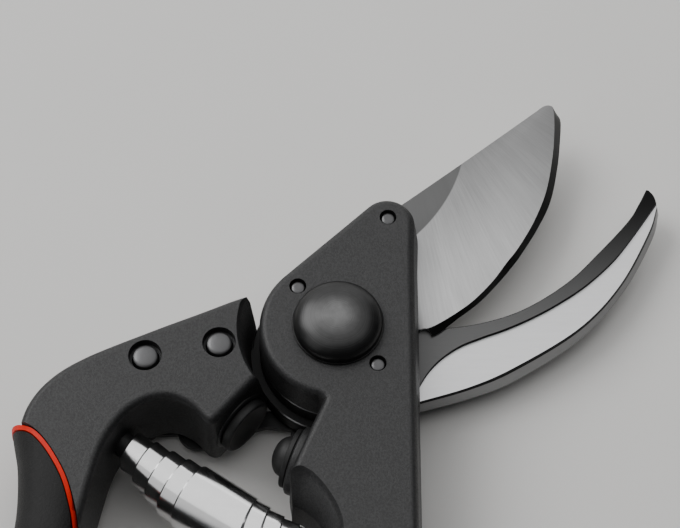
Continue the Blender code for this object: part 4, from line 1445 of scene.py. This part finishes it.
# %% Volute spring
def volute_group():
    sizes = {"Turns": 8.8, "End radius": 3.1, "Middle radius": 6.2, "Length": 44.4,
             "Strip width": 13.5, "Strip thickness": 0.5, "Edge drop": 0.08, "Steps": 420}
    graph, values = geometry_group("volute_spring", sizes, (), ("Steps",))
    grid = graph.node("GeometryNodeMeshGrid", None,
                      {"Size X": 1.0, "Size Y": 1.0, "Vertices X": values["Steps"],
                       "Vertices Y": 4}, "Mesh")
    x, y, _ = graph.split(graph.node("GeometryNodeInputPosition"))
    along = x + 0.5
    angle = along * values["Turns"] * (2 * pi) - pi / 2
    cone = 1.0 - abs(x * 2.0)
    border = abs(y).step(1 / 6, 1 / 2)
    across = graph.maths("SIGN", y) * (0.490 + 0.010 * border)
    radius = values["End radius"] + (values["Middle radius"] - values["End radius"]) * cone
    radius = radius - values["Edge drop"] * border
    width = values["Strip width"]
    advance = (values["Length"] - width) * along + width * (across + 0.5)
    rolled = graph.join(advance * MM, radius * graph.maths("COSINE", angle) * MM,
                        radius * graph.maths("SINE", angle) * MM)
    strip = graph.node("GeometryNodeSetPosition", None, {"Geometry": grid, "Position": rolled})
    thick = graph.node("GeometryNodeExtrudeMesh", {"mode": "FACES"},
                       {"Mesh": strip, "Offset Scale": values["Strip thickness"] * MM,
                        "Individual": False}, "Mesh")
    back = graph.node("GeometryNodeFlipFaces", None, {"Mesh": strip})
    joined = graph.tree.nodes.new("GeometryNodeJoinGeometry")
    graph.tree.links.new(thick.socket, joined.inputs[0])
    graph.tree.links.new(back.socket, joined.inputs[0])
    whole = graph.node("GeometryNodeMergeByDistance", None,
                       {"Geometry": Value(graph, joined.outputs[0]), "Distance": 1e-6})
    close_group(graph, whole, SPRING_STEEL)
    return graph, sizes


# %% Laying the spring between its seats
SPRING_PATH = [Vector(p) for p in ((-41.4, -21.1), (-28.5, -32.5), (-19.0, -41.0), (-3.1, -43.46))]
SPRING_SHARP_DEG = 18


def laid_on_arc(piece, length):
    """Moves a straight piece, which runs along X, onto a curve between the two spring seats."""
    start, b1, b2, end = SPRING_PATH
    for vertex in piece.data.vertices:
        s, side, rise = (1000 * c for c in vertex.co)
        t = s / length
        u = 1 - t
        p = u ** 3 * start + 3 * u ** 2 * t * b1 + 3 * u * t * t * b2 + t ** 3 * end
        d = u ** 2 * (b1 - start) + 2 * u * t * (b2 - b1) + t * t * (end - b2)
        d.normalize()
        vertex.co = Vector((MM * (p.x - d.y * side), MM * (p.y + d.x * side), MM * (MID_Z + rise)))
    return piece


# %% The spring
spring_graph, spring_sizes = volute_group()
spring = grown("volute_spring", spring_graph, points_mesh("spring", [PIVOT]), spring_sizes)
laid_on_arc(spring, spring_sizes["Length"])
bm = bmesh.new()
bm.from_mesh(spring.data)
bmesh.ops.recalc_face_normals(bm, faces=bm.faces)
bm.to_mesh(spring.data)
bm.free()
spring.data.shade_smooth()
spring.data.set_sharp_from_angle(angle=radians(SPRING_SHARP_DEG))
dress(spring, SPRING_STEEL)
report(spring)
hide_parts("return_spring")
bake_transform(spring)

# %% [markdown]
# ## The two stops
# A dished rubber pad on one handle meets a rubber dome on the other and takes the blow when
# the jaws close. Both are turned pieces on collars. On the real tool the dome flattens as it
# closes.

# %% Stops
def make_cushion():
    profile = [(1.9, -4.6), (1.9, 1.08), (5.4, 1.08), (5.75, 1.3), (5.85, 1.7), (5.85, 2.5),
               (5.75, 2.8), (5.5, 3.0), (5.2, 3.0), (4.7, 2.8), (3.9, 2.35), (2.8, 2.0),
               (1.4, 1.85), (0.3, 1.8)]
    pad = lying("cushion_pad", CUSHION_CENTRE, CUSHION_DEG, profile, 72)
    dress(pad, BUFFER)
    return pad


def make_shock_absorber():
    foot = [(1.9, -3.6), (1.9, 2.12), (5.8, 2.12), (5.95, 2.3), (5.95, 3.0), (5.8, 3.2), (4.5, 3.3),
            (4.25, 3.4)]
    profile = foot + dome(radius=4.15, base=3.5, rise=2.9, fullness=0.9, steps=12) + [(0.3, 6.4)]
    absorber = lying("shock_absorber_dome", STOP_CENTRE, STOP_DEG, profile, 72)
    dress(absorber, BUFFER)
    return absorber


stands_for(make_cushion(), "anvil_side", "black_rubber", "cushion")

shock_absorber = make_shock_absorber()
stands_for(shock_absorber, "blade_side", "black_rubber", "shock_absorber")
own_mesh(shock_absorber)

# %% [markdown]
# ## Lock and thumb catch
# On the reverse side a small toothed segment keeps the nut from turning, and a lever locks
# the closed handles. These stay close to their CAD shapes, with rounded edges.

# %% Reverse side
def make_segment():
    outline = arc(PIVOT, NUT_RADIUS + 0.3, 20, -30, 24) + [(14.0, -6.6)]
    outline += arc(SEGMENT_SCREW_PLACE, 4.2, -75, 75, 24) + [(14.0, 4.2)]
    low, high = [1000 * c.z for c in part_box("lock_segment")]
    segment = plate("lock_segment_plate", spaced(outline),
                    edge_levels(low, high, low_round=0.5, high_round=0.15, steps=4))
    drill(segment, [SEGMENT_SCREW_PLACE], SCREW_BORE, low=-1.0)
    return finished(segment, BLACKENED)


def screw_profile(shank, head, low, neck, high):
    """Profile of a domed screw that points up."""
    return [(0.3, low), (head * 0.6, low + 0.04), (head * 0.88, low + 0.18), (head, low + 0.45),
            (head, neck), (shank, neck), (shank, high)]


def make_screw(name, place, shank, head, neck, high, low=0.3):
    screw = upright(name, place, screw_profile(shank, head, low, neck, high), 48)
    groove(screw, place, half_width=0.45, low=low, depth=0.45)
    finished(screw, RIVET_STEEL)
    mark_middle(screw, place)
    return screw


# %% Thumb catch
CLOSING_DEG = 22.5
CATCH_TURN_DEG = 28.0
EYE_RADIUS = 4.6
STUD_CLEARANCE = 1.7


def make_catch():
    low, high = [1000 * c.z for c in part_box("thumb_catch")]
    stud_closed = turned([STUD_PLACE], -CLOSING_DEG)[0]
    dx = stud_closed[0] - CATCH_PLACE[0]
    dy = stud_closed[1] - CATCH_PLACE[1]
    reach = hypot(dx, dy)
    clear = STUD_CLEARANCE
    hook = reach + clear
    locked = arc((0, 0), EYE_RADIUS, 205, 300, 20)
    locked += [(7.5, -0.6), (reach - 3.4, clear), (hook, clear), (hook, -1.6)]
    locked += [(hook + 1.4, -2.6), (hook + 3.0, -1.4), (hook + 3.2, 3.0), (hook + 0.6, 5.6),
               (8.0, 5.0)]
    locked += arc((0, 0), EYE_RADIUS, 60, 140, 16)
    locked += arc((-11.5, 0.6), 4.2, 110, 250, 24)
    angle = degrees(atan2(dy, dx)) + CATCH_TURN_DEG
    outline = [(CATCH_PLACE[0] + x, CATCH_PLACE[1] + y) for x, y in turned(locked, angle)]
    lever = plate("thumb_catch_lever", spaced(divided(outline, 2.0)),
                  edge_levels(low, high, low_round=0.35, high_round=0.1, steps=4))
    drill(lever, [CATCH_PLACE], CATCH_BORE, low=-1.0)
    return finished(lever, BLACKENED)


GROOVE_PITCH = 1.2


def make_catch_pad():
    place = middle("catch_pad")
    low, high = [1000 * c.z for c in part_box("catch_pad")]
    profile = [(0.3, low + 0.25), (1.8, low + 0.1), (2.8, low), (3.4, low + 0.15),
               (3.75, low + 0.5), (3.8, high)]
    pad = upright("catch_pad_knob", place, profile, 64)
    for k in range(-2, 3):
        groove(pad, (place[0], place[1] + GROOVE_PITCH * k), half_width=0.25, low=low, depth=0.35)
    return finished(pad, BUFFER)


# %% The reverse side's five pieces
for piece, node, slot, body in (
    (make_segment(), "lock_segment", "black_steel", "anvil_side"),
    (make_screw("segment_screw_slotted", SEGMENT_SCREW_PLACE,
                shank=1.3, head=2.7, neck=1.1, high=7.2),
     "segment_screw", "pin_steel", "anvil_side"),
    (make_screw("catch_screw_slotted", CATCH_PLACE,
                shank=1.5, head=3.1, neck=1.3, high=11.0),
     "catch_screw", "pin_steel", "anvil_side"),
    (make_catch(), "thumb_catch", "black_steel", "catch"),
    (make_catch_pad(), "catch_pad", "black_rubber", "catch"),
):
    stands_for(piece, body, slot, node)

# %% [markdown]
# ## Pieces kept from the CAD model
# The bearing sleeve, the spring washer and the catch's stud are plain turned parts and
# mostly hidden, so their CAD solids stay and only get a better finish.

# %% Kept pieces
KEPT = (("pivot_bush", BRONZE), ("catch_washer", SPRING_STEEL), ("catch_stud", SPRING_STEEL))
for node, finish in KEPT:
    dress(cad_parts[node], finish)
print("kept:", [node for node, _ in KEPT])

# %% [markdown]
# ## Floor
# A plain pale sheet carries the pruner and its soft shadow.

# %% Floor
FLOOR_HALF = 1500.0
FLOOR_THICKNESS = 8.0
floor = plate("floor", rectangle(PIVOT, FLOOR_HALF, FLOOR_HALF),
              [(-FLOOR_THICKNESS, 0.0), (0.0, 0.0)])
paper = Finish("pale_floor", (0.80, 0.79, 0.77), 0.85)
paper.set("Base Color", paper.mix(paper.noise(0.02, 3.0), (0.78, 0.77, 0.75, 1.0),
                                  (0.82, 0.81, 0.79, 1.0)))
dress(floor, paper)
report(floor)
